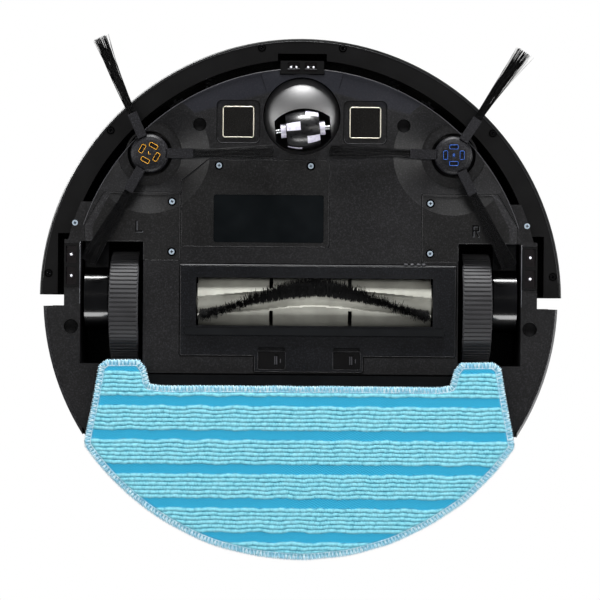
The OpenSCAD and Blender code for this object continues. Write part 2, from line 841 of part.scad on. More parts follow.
module drive_arm(s) {
    on_side(s) difference() {
        union() {
            rod_x(arm_in, arm_out, pivot_y, pivot_z, 8);
            rod_x(arm_in, arm_out, 0, drum_z, drum_r);
            span([arm_in, pivot_y, 23], [arm_out, 0, 44]);
            rod_x(tyre_x - tyre_w / 2 + 1.5, arm_in + 1, tyre_y, tyre_r, spindle_r);
            rod_x(tyre_x + tyre_w / 2, arm_in + 1, tyre_y, tyre_r, 7);
        }
        rod_x(arm_out - 3.2, far, pivot_y, pivot_z, pivot_r + 0.05);
        rod_x(arm_in - 1, arm_out - 6, pivot_y, pivot_z, 4);
    }
}

module drive_motor(s) {
    on_side(s) {
        rod_x(86, arm_in - 0.1, pivot_y, pivot_z, motor_r);
        rod_x(83, 86.1, pivot_y, pivot_z, 5);
    }
}

module wheel_hub(s) {
    half = tyre_w / 2;
    on_side(s) difference() {
        union() {
            rod_x(tyre_x - half + 2, tyre_x - half + 5, tyre_y, tyre_r, hub_r - 0.05);
            rod_x(tyre_x - half + 4, tyre_x + half - 1.5, tyre_y, tyre_r, 7);
            difference() {
                rod_x(tyre_x - half + 4, tyre_x + half - 1.5, tyre_y, tyre_r, hub_r - 0.05);
                rod_x(tyre_x - half + 3, tyre_x + half, tyre_y, tyre_r, hub_r - 3);
            }
            for (a = [0:60:300])
                translate([tyre_x - half + 4.5, tyre_y, tyre_r]) rotate([a, 0, 0])
                    translate([0, 5.5, -1]) cube([tyre_w - 8, hub_r - 8, 2]);
        }
        rod_x(tyre_x - half, tyre_x + half, tyre_y, tyre_r, spindle_r + 0.05);
    }
}

module tyre(s) {
    half = tyre_w / 2;
    on_side(s) translate([tyre_x, tyre_y, tyre_r]) rotate([0, 90, 0]) rotate_extrude($fn = 120)
        polygon([
            [hub_r, -half], [tyre_r - 1.2, -half], [tyre_r, -half + 1.4], [tyre_r, half - 1.4],
            [tyre_r - 1.2, half], [hub_r, half]
        ]);
}

module suspension_springs() color("#a7abb0") {
    for (s = [left, right]) on_side(s)
        translate([129.6, 0, drum_z + drum_r + 0.5]) coil(5, 1.2, 13.6, 5);
}

module drive_arm_left() color("#131315") drive_arm(left);
module drive_arm_right() color("#131315") drive_arm(right);
module drive_motor_left() color("#9a9c9f") drive_motor(left);
module drive_motor_right() color("#9a9c9f") drive_motor(right);
module wheel_hub_left() color("#202022") wheel_hub(left);
module wheel_hub_right() color("#202022") wheel_hub(right);
module tyre_left() color("#252527") tyre(left);
module tyre_right() color("#252527") tyre(right);

// ---------- side brushes ----------

sleeve_r = 27.5;
sleeve_z = [5.2, 8.2];
arm_angles = [[-114, 0, 119], [-57, -178, 63]];
bristle_drop = 5.1;

// Arms of one side brush, each along +X of its own frame at sleeve height
module brush_arms(s) {
    for (a = arm_angles[s < 0 ? 0 : 1])
        translate([s * brush_x, -brush_y, 0]) rotate([0, 0, a]) children();
}

module side_brush_hub(s) {
    difference() {
        union() {
            translate([s * brush_x, -brush_y, 0]) rotate_extrude() polygon([
                [0, 4.4], [3, 4.45], [6, 4.7], [8.4, 5.15], [10.3, 5.8], [11.5, 6.6], [12, 7.6],
                [12, 17.6], [3.4, 17.6], [3.4, 30], [0, 30]
            ]);
            brush_arms(s) translate([11, -3, sleeve_z[0]])
                cube([sleeve_r - 11, 6, sleeve_z[1] - sleeve_z[0]]);
        }
        translate([s * brush_x, -brush_y, 0]) for (a = [0:90:270])
            rotate([0, 0, a + (s < 0 ? 30 : 0)]) translate([4, -2.6, 4]) cube([2.4, 5.2, 1.6]);
    }
}

module side_bristles(s) {
    thick = 1.7;
    brush_arms(s) translate([sleeve_r + 0.05, 0, 6.7]) rotate([0, bristle_drop, 0])
        translate([0.1, 0, -thick / 2]) linear_extrude(thick) polygon([
            [0, -2.5], [arm_r - sleeve_r - 0.4, -4.5], [arm_r - sleeve_r - 0.4, 4.5], [0, 2.5]
        ]);
}

module side_brush_hub_left() color("#17171a") side_brush_hub(left);
module side_brush_hub_right() color("#17171a") side_brush_hub(right);
module side_bristles_left() color("#0e0e10") side_bristles(left);
module side_bristles_right() color("#0e0e10") side_bristles(right);

// ---------- main roller ----------

core_r = 11.5;
blade_r = roller_r - 1;
roller_ends = [bay_in + 1.2, bay_out - 1.2];

// One straight fin on the roller, at an angle round its axis
module fin(angle, r, t, x0, x1) {
    translate([0, roller_y, roller_z]) rotate([angle, 0, 0])
        translate([x0, -t / 2, core_r + 0.05]) cube([x1 - x0, t, r - core_r - 0.05]);
}

module brush_core() color("#e4e0d4") {
    rod_x(roller_ends[0], roller_ends[1], roller_y, roller_z, core_r);
    rod_x(-80.5, bay_out + bay_wall - 0.2, roller_y, roller_z, 3);
}

module brush_blades() color("#e9e5da") {
    for (a = [0, 120, 240]) fin(a, blade_r, 3, window[0] + 0.6, window[1] - 0.6);
}

module brush_tufts() color("#141416") {
    for (a = [60, 180, 300]) fin(a, roller_r, 4, window[0] + 0.6, window[1] - 0.6);
}

// ---------- brush guard ----------

module brush_cover() color("#18181a") {
    translate([0, 0, guard_z]) difference() {
        linear_extrude(guard_t) difference() {
            union() {
                translate([guard[0], guard[2] + guard_edge])
                    square([guard[1] - guard[0], guard[3] - guard[2] - guard_edge]);
                translate([tongue[0], guard[3] - eps])
                    square([tongue[1] - tongue[0], tongue[2] - guard[3]]);
            }
            translate([window[0], window[2]])
                square([window[1] - window[0], window[3] - window[2]]);
        }
        for (x = latch_x) translate([x - latch_size[0] / 2 - gap, latch_y - latch_size[1] / 2, -1])
            translate([0, -latch_travel - gap, 0])
                cube([latch_size[0] + 2 * gap, latch_size[1] + latch_travel + 2 * gap, 3.2]);
        translate([window[0] - 7, window[3] + 1.2, -eps])
            cube([window[1] - window[0] + 14, 5, 1.4]);
    }
    rod_x(guard[0], guard[1], guard[2] + guard_edge, guard_z + guard_edge, guard_edge);
}

module brush_squeegee() color("#101012") {
    translate([window[0] - 6.8, window[3] + 1.4, guard_z - 3])
        cube([window[1] - window[0] + 13.6, 4.6, 4.3]);
}

module cover_latch(i) {
    x = latch_x[i];
    w = latch_size[0];
    l = latch_size[1];
    translate([x - w / 2, latch_y - l / 2, guard_z + 0.2]) difference() {
        cube([w, l, 1.7]);
        translate([w * 0.62, 1.6, -eps]) cube([2.4, l - 3.2, 0.9]);
    }
}

module cover_latch_left() color("#202023") cover_latch(0);
module cover_latch_right() color("#202023") cover_latch(1);

// ---------- tank, mop and dustbin ----------

// Outline of the tank, the mop plate and the cloth; tab_y is the front edge of the two tabs
module mop_outline(inset, tab_y, front, r) {
    i = inset;
    intersection() {
        circle(r - i, $fn = 180);
        polygon([
            [0, front + i], [88, front + i], [94.5, tab_y + 15], [97 + i, tab_y + 5],
            [101 + i, tab_y + i], [122 - i, tab_y + i], [126.8 - i, tab_y + 3.5],
            [129.4 - i, 58], [135.4 - i, 90.5], [135.4 - i, far], [-135.4 + i, far],
            [-135.4 + i, 90.5], [-129.4 + i, 58], [-126.8 + i, tab_y + 3.5], [-122 + i, tab_y + i],
            [-101 - i, tab_y + i], [-97 - i, tab_y + 5], [-94.5, tab_y + 15], [-88, front + i]
        ]);
    }
}

// The tank's outline, without the tabs
module tank_outline(inset = 0) {
    i = inset;
    intersection() {
        circle(tank_r - i, $fn = 180);
        polygon([
            [-tank_front_half + i, tank_front + i], [tank_front_half - i, tank_front + i],
            [tank_half - i, tank_side_y],
            [tank_half + 2.2 - i, 91], [tank_half + 2.2 - i, far], [-tank_half - 2.2 + i, far],
            [-tank_half - 2.2 + i, 91], [-tank_half + i, tank_side_y]
        ]);
    }
}

module water_tank() color("#17171a") {
    difference() {
        translate([0, 0, tank_z[0]]) linear_extrude(tank_z[1] - tank_z[0]) tank_outline();
        difference() {
            translate([0, 0, tank_z[0] + 2]) linear_extrude(tank_z[1] - tank_z[0] - 4)
                tank_outline(2.5);
            span([-14.5, tank_r - 9, 0], [14.5, far, far]);
        }
        translate([cap_spot[0], cap_spot[1], 0]) translate([0, 0, tank_z[1] - 5])
            cylinder(h = 10, r = cap_r + 0.05);
        translate([-12.3, tank_r - 6.6, 9.7]) cube([24.6, 10, 10.6]);
    }
}

module tank_cap() color("#2c2c30") {
    translate([cap_spot[0], cap_spot[1], tank_z[1] - 3]) {
        cylinder(h = 3.2, r = cap_r);
        translate([0, 0, -3]) cylinder(h = 3.1, r = cap_r - 1);
    }
}

// Push button in a rear wall; y is its outer face
module rear_button(half_w, y, z0, z1) {
    span([-half_w, y - 3.4, z0], [half_w, y, z1]);
}

module tank_button() color("#26262a") rear_button(12, tank_r - 0.3, 10, 20);
module bin_button() color("#26262a") rear_button(13, bin_r - 0.2, 52, 60);

module dustbin() color("#2e2e33") {
    w = 2;
    difference() {
        intersection() {
            span([-bin_half, bin_front, bin_z[0]], [bin_half, far, bin_z[1]]);
            cylinder(h = far, r = bin_r, $fn = 180);
        }
        intersection() {
            span([-bin_half + w, bin_front + w, bin_z[0] + w], [bin_half - w, far, bin_z[1] + 1]);
            cylinder(h = far, r = bin_r - 8, $fn = 180);
        }
        span([duct[0], 0, duct[2]], [duct[1], bin_front + 9, duct[3]]);
        span([-13.3, bin_r - 6.4, 51.7], [13.3, far, 60.3]);
    }
}

module dust_filter() color("#f0efe9") {
    span([-60, bin_front + 6, 62], [60, bin_front + 40, 63.5]);
    for (y = [bin_front + 9:3:bin_front + 36]) span([-58, y, 63.4], [58, y + 1.2, 69]);
    for (s = [left, right]) on_side(s)
        span([58, bin_front + 6, 62], [bin_half - 2.2, bin_front + 40, 70]);
}

module mop_plate() color("#1c1c1e") {
    translate([0, 0, cloth_t + 0.15]) linear_extrude(mop_plate_t) mop_outline(2.5, 39.4, 54.8, body_r);
}

module mop_cloth() color("#3fb8dc") {
    linear_extrude(cloth_t) mop_outline(0, 39.6, 55.4, body_r);
}

// ---------- parts ----------

chassis_base();
rear_skirt();
top_shell();
top_panel();
start_button();
power_switch();
battery_pack();
battery_cover();
cover_label();
wheel_cover_left();
wheel_cover_right();
plate_screws();
charge_contacts();
cliff_sensors();
cliff_windows();
drive_belt();
main_board();
fan_housing();
fan_impeller();
brush_motor();
motor_pulley();
side_brush_motors();
bumper_shell();
bumper_flange();
bumper_window();
bumper_screws();
bumper_springs();
bumper_switches();
caster_dome();
caster_axle();
caster_wheel();
drive_arm_left();
drive_arm_right();
drive_motor_left();
drive_motor_right();
wheel_hub_left();
wheel_hub_right();
tyre_left();
tyre_right();
suspension_springs();
side_brush_hub_left();
side_brush_hub_right();
side_bristles_left();
side_bristles_right();
brush_core();
brush_blades();
brush_tufts();
brush_pulley();
brush_cover();
brush_squeegee();
cover_latch_left();
cover_latch_right();
dustbin();
dust_filter();
bin_button();
water_tank();
tank_cap();
tank_button();
mop_plate();
mop_cloth();
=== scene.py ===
"""Robot vacuum seen from below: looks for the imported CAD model.

Everything is in metres in the CAD frame: +Z up, the robot's front towards -Y, the floor at z = 0.
"""

import itertools
import json
import math
import random

import bmesh
import bpy
import numpy as np
from mathutils import Matrix, Vector


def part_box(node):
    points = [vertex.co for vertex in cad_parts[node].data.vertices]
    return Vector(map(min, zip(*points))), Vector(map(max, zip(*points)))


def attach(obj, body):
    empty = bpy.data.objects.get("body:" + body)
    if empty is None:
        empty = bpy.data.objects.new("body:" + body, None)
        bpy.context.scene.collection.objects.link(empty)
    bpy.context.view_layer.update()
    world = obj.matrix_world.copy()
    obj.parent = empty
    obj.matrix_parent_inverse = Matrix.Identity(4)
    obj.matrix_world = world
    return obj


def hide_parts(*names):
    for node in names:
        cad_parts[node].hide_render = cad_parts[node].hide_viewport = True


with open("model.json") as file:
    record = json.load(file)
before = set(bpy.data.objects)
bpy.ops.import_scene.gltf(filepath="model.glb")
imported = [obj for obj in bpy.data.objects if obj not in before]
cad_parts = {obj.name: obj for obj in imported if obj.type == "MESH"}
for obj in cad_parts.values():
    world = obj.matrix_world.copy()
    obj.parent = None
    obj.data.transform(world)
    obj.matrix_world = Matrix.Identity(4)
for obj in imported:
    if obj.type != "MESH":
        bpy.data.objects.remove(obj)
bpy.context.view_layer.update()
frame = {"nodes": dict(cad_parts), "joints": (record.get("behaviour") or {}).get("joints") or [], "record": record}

MM = 0.001
SIDES = {"left": -1, "right": 1}


# ---------- reading the frame ----------

def joint_pos(name):
    """Point on a hinge's axis at rest."""
    joint = next(j for j in frame["record"]["behaviour"]["joints"] if j["name"] == name)
    return Vector(joint["pos_m"])


# ---------- camera ----------

VIEW_WIDTH = 0.3792          # what the picture is wide, at the height of the underside
CAMERA_DROP = 1.7            # from the camera up to the underside
UNDERSIDE_Z = 0.009
CAMERA_ROLL = math.radians(0.45)
CAMERA_SHIFT = Vector((-0.0003, 0.0013))


def make_camera():
    """Straight look up at the underside, the robot's front at the top of the picture."""
    data = bpy.data.cameras.new("camera")
    data.sensor_width = 36.0
    data.lens = 36.0 * CAMERA_DROP / VIEW_WIDTH
    data.clip_start = 0.01
    data.clip_end = 20.0
    data.dof.use_dof = False
    camera = bpy.data.objects.new("camera", data)
    bpy.context.scene.collection.objects.link(camera)
    right = Vector((math.cos(CAMERA_ROLL), -math.sin(CAMERA_ROLL), 0.0))
    up = Vector((-math.sin(CAMERA_ROLL), -math.cos(CAMERA_ROLL), 0.0))
    turn = Matrix((right, up, right.cross(up))).transposed().to_4x4()
    place = Vector((CAMERA_SHIFT.x, CAMERA_SHIFT.y, UNDERSIDE_Z - CAMERA_DROP))
    camera.matrix_world = Matrix.Translation(place) @ turn
    bpy.context.scene.camera = camera


make_camera()


# ---------- materials ----------

class Nodes:
    """Short helpers round one material's node tree."""

    def __init__(self, name):
        self.material = bpy.data.materials.new(name)
        self.material.use_nodes = True
        self.tree = self.material.node_tree
        self.shader = self.tree.nodes["Principled BSDF"]

    def add(self, kind, settings=None, **inputs):
        """New node of a type, with its properties in settings and its sockets by name."""
        node = self.tree.nodes.new(kind)
        for key, value in (settings or {}).items():
            setattr(node, key, value)
        for key, value in inputs.items():
            self.plug(node, key.replace("_", " "), value)
        return node

    def plug(self, node, socket, value):
        """Set a socket to a value, or link it to another node's output."""
        target = node.inputs[int(socket)] if socket.isdigit() else node.inputs[socket]
        if isinstance(value, bpy.types.NodeSocket):
            self.tree.links.new(value, target)
        elif isinstance(value, bpy.types.Node):
            self.tree.links.new(value.outputs[0], target)
        else:
            target.default_value = value

    def coords(self):
        return self.add("ShaderNodeTexCoord").outputs["Object"]

    def attribute(self, name):
        return self.add("ShaderNodeAttribute", {"attribute_name": name}).outputs["Fac"]

    def noise(self, scale, detail=3.0, vector=None, rough=0.5):
        node = self.add("ShaderNodeTexNoise", Scale=scale, Detail=detail, Roughness=rough)
        self.plug(node, "Vector", vector or self.coords())
        return node.outputs["Fac"]

    def ramp(self, value, low, high, start=0.0, end=1.0):
        """Colour between low and high as value goes from start to end."""
        node = self.add("ShaderNodeValToRGB", Fac=value)
        stops = node.color_ramp.elements
        stops[0].position, stops[0].color = start, (*low, 1.0)
        stops[1].position, stops[1].color = end, (*high, 1.0)
        return node.outputs["Color"]

    def remap(self, value, low, high, start=0.0, end=1.0):
        """Number between low and high as value goes from start to end."""
        node = self.add("ShaderNodeMapRange")
        for key, number in (("Value", value), ("From Min", start), ("From Max", end),
                            ("To Min", low), ("To Max", high)):
            self.plug(node, key, number)
        return node.outputs["Result"]

    def math(self, operation, *values):
        node = self.add("ShaderNodeMath", {"operation": operation})
        for index, value in enumerate(values):
            self.plug(node, str(index), value)
        return node.outputs[0]

    def mix(self, share, first, second):
        node = self.add("ShaderNodeMix", {"data_type": "RGBA"})
        self.plug(node, "0", share)
        for index, value in ((6, first), (7, second)):
            if isinstance(value, tuple):
                value = (*value, 1.0)
            self.plug(node, str(index), value)
        return node.outputs[2]

    def bump(self, height, distance, strength=1.0, under=None):
        node = self.add("ShaderNodeBump", Strength=strength, Distance=distance, Height=height)
        if under is not None:
            self.plug(node, "Normal", under)
        return node.outputs["Normal"]

    def finish(self, **inputs):
        for key, value in inputs.items():
            self.plug(self.shader, key.replace("_", " "), value)
        return self.material


def linear(value):
    """Linear channel from a 0-255 display value."""
    share = value / 255
    return share / 12.92 if share <= 0.04 else ((share + 0.055) / 1.055) ** 2.4


def rgb(*values):
    """Linear colour from 0-255 display values."""
    return tuple(linear(value) for value in values)


DISH_SPOT, DISH_RADIUS, DISH_RUN = joint_pos("side_brush_right_spin"), 0.038, 0.0176
DISH_SLOPE = 0.30
RAMP_START, RAMP_TURN, RAMP_SLOPE = (0.022, -0.1282), math.radians(15.6), 0.07


def underside_relief(n, where):
    """Height of the hollow round each side brush and of the slope at the front, in metres, and how far onto the
    front slope each point is, which also sets a painted light tint.
    """
    split = n.add("ShaderNodeSeparateXYZ", Vector=where)
    x, y = n.math("ABSOLUTE", split.outputs["X"]), split.outputs["Y"]
    dx, dy = n.math("SUBTRACT", x, DISH_SPOT.x), n.math("SUBTRACT", y, DISH_SPOT.y)
    away = n.math("SQRT", n.math("ADD", n.math("MULTIPLY", dx, dx), n.math("MULTIPLY", dy, dy)))
    dish = n.math("MINIMUM", n.math("MAXIMUM", n.math("SUBTRACT", DISH_RADIUS, away), 0.0), DISH_RUN)
    along = n.math("ADD", n.math("MULTIPLY", n.math("SUBTRACT", x, RAMP_START[0]), math.sin(RAMP_TURN)),
                   n.math("MULTIPLY", n.math("SUBTRACT", y, RAMP_START[1]), -math.cos(RAMP_TURN)))
    ramp = n.math("MULTIPLY", n.math("MAXIMUM", along, 0.0), n.math("GREATER_THAN", away, DISH_RADIUS))
    return n.math("ADD", n.math("MULTIPLY", dish, -DISH_SLOPE), n.math("MULTIPLY", ramp, -RAMP_SLOPE)), ramp


def grained_plastic(name, base, rough, grain=1500.0, depth=0.00006, sheen_patch=0.08, relief=False,
                    specular=0.35):
    """Moulded plastic with a spark-eroded grain, faint flow marks and rubbed spots; with relief, painted light: a
    lighter bluish tint on the front slope.
    """
    n = Nodes(name)
    where = n.coords()
    grain_noise = n.noise(grain, 4.0, where, 0.6)
    flow = n.noise(22.0, 3.0, where)
    dust = n.noise(2600.0, 1.0, where)
    lighter = tuple(channel * 1.6 + 0.0006 for channel in base)
    tone = n.ramp(flow, base, lighter, 0.3, 0.8)
    speck = n.remap(dust, 0.0, 1.0, 0.70, 0.78)
    tone = n.mix(n.math("MULTIPLY", speck, 0.35), tone, tuple(c * 3 + 0.004 for c in base))
    fleck = n.noise(1150.0, 2.0, where, 0.7)
    tone = n.mix(n.remap(fleck, 0.0, 0.85, 0.50, 0.78), tone, tuple(c * 6 + 0.016 for c in base))
    tone = n.mix(n.remap(fleck, 0.75, 0.0, 0.22, 0.46), tone, tuple(c * 0.35 for c in base))
    normal = n.bump(grain_noise, depth)
    if relief:
        height, ramp = underside_relief(n, where)
        # painted light: the front slope is tinted lighter and bluish, as if the front lamp fell on it
        tone = n.mix(n.remap(ramp, 0.0, 0.55, 0.0005, 0.002), tone, rgb(24, 26, 36))
        normal = n.bump(height, 1.0, under=normal)
    roughness = n.remap(flow, rough - sheen_patch, rough + sheen_patch, 0.3, 0.7)
    return n.finish(Base_Color=tone, Roughness=roughness, Specular_IOR_Level=specular, Normal=normal)


def smooth_plastic(name, base, rough, coat=0.0, specular=0.5, ior=1.5):
    """Polished or satin plastic with faint waviness and fine dust."""
    n = Nodes(name)
    where = n.coords()
    wave = n.noise(60.0, 2.0, where)
    dust = n.noise(3200.0, 1.0, where)
    tone = n.ramp(wave, base, tuple(c * 1.4 + 0.002 for c in base), 0.3, 0.8)
    roughness = n.remap(dust, rough, rough + 0.12, 0.55, 0.8)
    return n.finish(Base_Color=tone, Roughness=roughness, Coat_Weight=coat, Coat_Roughness=0.06,
                    Specular_IOR_Level=specular, IOR=ior, Normal=n.bump(wave, 0.00012, 0.4))


def metal(name, base, rough, brushed=True):
    """Bare or plated steel with fine lines and slight staining."""
    n = Nodes(name)
    where = n.coords()
    stretch = n.add("ShaderNodeMapping", Vector=where)
    n.plug(stretch, "Scale", (1.0, 14.0, 1.0) if brushed else (1.0, 1.0, 1.0))
    lines = n.noise(900.0, 3.0, stretch.outputs[0])
    stain = n.noise(120.0, 2.0, where)
    tone = n.ramp(stain, tuple(c * 0.8 for c in base), base, 0.3, 0.7)
    return n.finish(Base_Color=tone, Metallic=1.0, Roughness=n.remap(lines, rough, rough + 0.15, 0.3, 0.7),
                    Normal=n.bump(lines, 0.00002, 0.5))


def rubber(name, base, rough, marks=0.25):
    """Rubber with a bloom of dust and small scuffs."""
    n = Nodes(name)
    where = n.coords()
    bloom = n.noise(90.0, 4.0, where)
    fine = n.noise(1400.0, 3.0, where)
    tone = n.ramp(bloom, base, tuple(c * (1.0 + marks) + 0.006 for c in base), 0.35, 0.75)
    return n.finish(Base_Color=tone, Roughness=n.remap(bloom, rough, rough + 0.12, 0.3, 0.7),
                    Normal=n.bump(fine, 0.00005))


def paint(obj, material):
    """One material on the whole of an object."""
    obj.data.materials.clear()
    obj.data.materials.append(material)


def look(names, make, name, *values, **options):
    """New material, painted on the CAD nodes named in a string. A name ending in _ stands for both sides."""
    material = make(name, *values, **options)
    for node in names.split():
        for full in [node + side for side in SIDES] if node.endswith("_") else [node]:
            paint(frame["nodes"][full], material)
    return material


look("chassis_base", grained_plastic, "plate", rgb(10, 10, 12), 0.40, sheen_patch=0.05, relief=True)
look("battery_cover wheel_cover_", grained_plastic, "cover", rgb(7, 7, 8), 0.40, grain=1300.0,
     sheen_patch=0.05, relief=True)
look("top_shell dustbin mop_plate bin_button tank_button", grained_plastic, "shell", rgb(24, 25, 26),
     0.46, grain=1900.0, depth=0.00003, specular=0.25)
look("cover_latch_", smooth_plastic, "latch", rgb(2, 2, 3), 0.4, specular=0.2)
look("brush_cover", grained_plastic, "guard", rgb(3, 4, 7), 0.42, grain=1300.0, specular=0.25)
look("bumper_shell", grained_plastic, "bumper", rgb(9, 10, 10), 0.5, grain=1900.0, depth=0.00003,
     specular=0.2)
look("rear_skirt", grained_plastic, "skirt", rgb(32, 32, 34), 0.46, grain=1900.0, depth=0.00003,
     specular=0.22)
look("water_tank", smooth_plastic, "tank", rgb(3, 4, 6), 0.34, specular=0.2)
look("wheel_hub_ side_brush_hub_", grained_plastic, "hub", rgb(17, 17, 20), 0.46, grain=1700.0,
     depth=0.00004, specular=0.25)
look("bumper_flange cliff_sensors", smooth_plastic, "flange", rgb(3, 3, 4), 0.42, specular=0.2)
look("top_panel power_switch start_button", smooth_plastic, "gloss", rgb(17, 17, 19), 0.14, coat=0.4)
look("bumper_window cliff_windows", smooth_plastic, "window", rgb(14, 8, 12), 0.30, specular=0.35)
look("cover_label", smooth_plastic, "label", rgb(9, 12, 14), 0.6, specular=0.02)
look("caster_dome", smooth_plastic, "dome", rgb(24, 24, 27), 0.46, specular=1.0, ior=1.9)
look("drive_arm_", smooth_plastic, "arm", rgb(10, 10, 12), 0.15, coat=0.3)
look("fan_housing fan_impeller tank_cap motor_pulley brush_pulley bumper_switches", grained_plastic,
     "grey", rgb(58, 59, 62), 0.5)
look("plate_screws", metal, "screw", rgb(206, 222, 236), 0.5, brushed=False)
look("bumper_screws", metal, "black_screw", rgb(16, 16, 18), 0.35, brushed=False)
look("charge_contacts", smooth_plastic, "contact", rgb(14, 13, 12), 0.22)
look("bumper_springs suspension_springs caster_axle", metal, "steel", rgb(196, 198, 202), 0.22)
look("brush_motor side_brush_motors drive_motor_", metal, "motor", rgb(170, 172, 174), 0.36)
TYRE_RUBBER = look("tyre_", rubber, "tyre", rgb(40, 40, 43), 0.55)
look("drive_belt", rubber, "belt", rgb(28, 28, 30), 0.62)
look("brush_core brush_blades", rubber, "cream", rgb(158, 157, 147), 0.60, marks=0.10)
look("brush_squeegee", smooth_plastic, "wiper", rgb(4, 6, 9), 0.5, specular=0.2)
look("battery_pack", smooth_plastic, "wrap", rgb(44, 78, 128), 0.3, coat=0.4)
look("main_board", smooth_plastic, "board", rgb(20, 74, 48), 0.4, coat=0.2)
look("dust_filter", rubber, "paper", rgb(214, 214, 206), 0.85, marks=0.05)


# ---------- building helpers ----------

def piece(name, mesh, material, body, smooth=True, slot=None, replaces=()):
    """Object for a new mesh, painted, riding on a body."""
    obj = bpy.data.objects.new(name, mesh)
    bpy.context.scene.collection.objects.link(obj)
    if material is not None:
        paint(obj, material)
    if smooth:
        for face in mesh.polygons:
            face.use_smooth = True
    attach(obj, body)
    if replaces:
        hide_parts(*replaces)
    return obj


def mesh_of(name, build):
    """Mesh made by a function that fills a bmesh."""
    work = bmesh.new()
    build(work)
    bmesh.ops.recalc_face_normals(work, faces=work.faces)
    mesh = bpy.data.meshes.new(name)
    work.to_mesh(mesh)
    work.free()
    return mesh


def build_piece(name, build, material, body, **options):
    """Piece whose mesh comes from a function that fills a bmesh."""
    return piece(name, mesh_of(name, build), material, body, **options)


def loft(work, rings, caps=True, closed=False):
    """Skin over rings of points, with caps on the first and last, or with the last joined to the first."""
    rows = [[work.verts.new(point) for point in ring] for ring in rings]
    for first, second in zip(rows, rows[1:] + rows[:1] if closed else rows[1:]):
        for index, point in enumerate(first):
            after = (index + 1) % len(first)
            work.faces.new((point, first[after], second[after], second[index]))
    if caps and not closed:
        work.faces.new(rows[0])
        work.faces.new(rows[-1])


def circle(middle, radius, z, count):
    """Points round a circle. The middle and z are in metres, the radius in mm."""
    return [Vector((middle[0] + radius * MM * math.cos(math.tau * k / count),
                    middle[1] + radius * MM * math.sin(math.tau * k / count), z)) for k in range(count)]


def smooth_by_angle(obj, degrees=35.0):
    """Sharp edges where faces meet at more than an angle."""
    limit = math.radians(degrees)
    work = bmesh.new()
    work.from_mesh(obj.data)
    for edge in work.edges:
        if len(edge.link_faces) == 2 and edge.calc_face_angle(0.0) > limit:
            edge.smooth = False
    work.to_mesh(obj.data)
    work.free()


# ---------- mop cloth ----------

CLOTH_STEP = (0.9, 0.43)      # grid of the terry side, mm across and along
STRIPE_PERIOD = 21.4
STRIPE_START = 62.3           # where one flat woven stripe starts
STRIPE_WIDE = 5.8
RIB_PITCH = 2.6
LOOP_PITCH = 1.9
CREST_Z, GAP_Z, STRIPE_Z = 0.25, 1.15, 0.95
HEM_WIDE, HEM_Z, CLOTH_TOP_Z = 3.2, 1.35, 3.1
STITCH_PITCH = 2.3
END_SHARE = 0.55              # how thick a strand's ends are


def signed_area(points):
    """Area inside a closed outline, positive when it runs anticlockwise."""
    after = np.roll(points, -1, axis=0)
    return np.sum(points[:, 0] * after[:, 1] - points[:, 1] * after[:, 0]) / 2


def bottom_outline(node):
    """Corners, in mm, of the flat bottom of a CAD node, in order."""
    work = bmesh.new()
    work.from_mesh(frame["nodes"][node].data)
    bmesh.ops.remove_doubles(work, verts=work.verts, dist=1e-6)
    down = {face for face in work.faces if face.normal.z < -0.99}
    edges = [edge for edge in work.edges if sum(face in down for face in edge.link_faces) == 1]
    after = {}
    for edge in edges:
        for near, far in (edge.verts, reversed(edge.verts)):
            after.setdefault(near, []).append(far)
    start = here = edges[0].verts[0]
    before, loop = None, []
    while here is not start or not loop:
        loop.append((here.co.x / MM, here.co.y / MM))
        before, here = here, next(vert for vert in after[here] if vert is not before)
    work.free()
    points = np.array(loop)
    return points if signed_area(points) > 0 else points[::-1]


def resample(points, step):
    """Evenly spaced points round a closed outline, with the outward direction at each."""
    closed = np.vstack([points, points[:1]])
    along = np.concatenate([[0], np.cumsum(np.hypot(*np.diff(closed, axis=0).T))])
    count = int(round(along[-1] / step))
    places = np.linspace(0, along[-1], count, endpoint=False)
    spaced = np.column_stack([np.interp(places, along, closed[:, axis]) for axis in (0, 1)])
    heading = np.roll(spaced, -1, axis=0) - np.roll(spaced, 1, axis=0)
    heading /= np.hypot(*heading.T)[:, None]
    return spaced, np.column_stack([heading[:, 1], -heading[:, 0]])


def edge_distance(points, outline):
    """Distance of each point to a closed outline, and the nearest place on it."""
    best, nearest = np.full(len(points), 1e9), np.zeros_like(points)
    for start, end in zip(outline, np.roll(outline, -1, axis=0)):
        line = end - start
        share = np.clip(((points - start) @ line) / max(line @ line, 1e-12), 0, 1)
        place = start + share[:, None] * line
        far = np.hypot(*(points - place).T)
        closer = far < best
        best[closer], nearest[closer] = far[closer], place[closer]
    return best, nearest


def inside(points, outline):
    """Which points lie inside a closed outline."""
    crossings = np.zeros(len(points), int)
    for (x0, y0), (x1, y1) in zip(outline, np.roll(outline, -1, axis=0)):
        if y0 == y1:
            continue
        hit = (points[:, 1] >= min(y0, y1)) & (points[:, 1] < max(y0, y1))
        at = x0 + (points[:, 1] - y0) * (x1 - x0) / (y1 - y0)
        crossings += hit & (points[:, 0] < at)
    return crossings % 2 == 1


def ripple(points, seed, size):
    """Smooth wandering value from about -1 to 1, a few waves of about that size in mm."""
    rng = np.random.default_rng(seed)
    total = np.zeros(len(points))
    for _ in range(5):
        angle, phase = rng.uniform(0, math.tau, 2)
        reach = size * rng.uniform(0.7, 1.6)
        total += np.sin((points @ [math.cos(angle), math.sin(angle)]) * math.tau / reach + phase)
    return total / 3.2


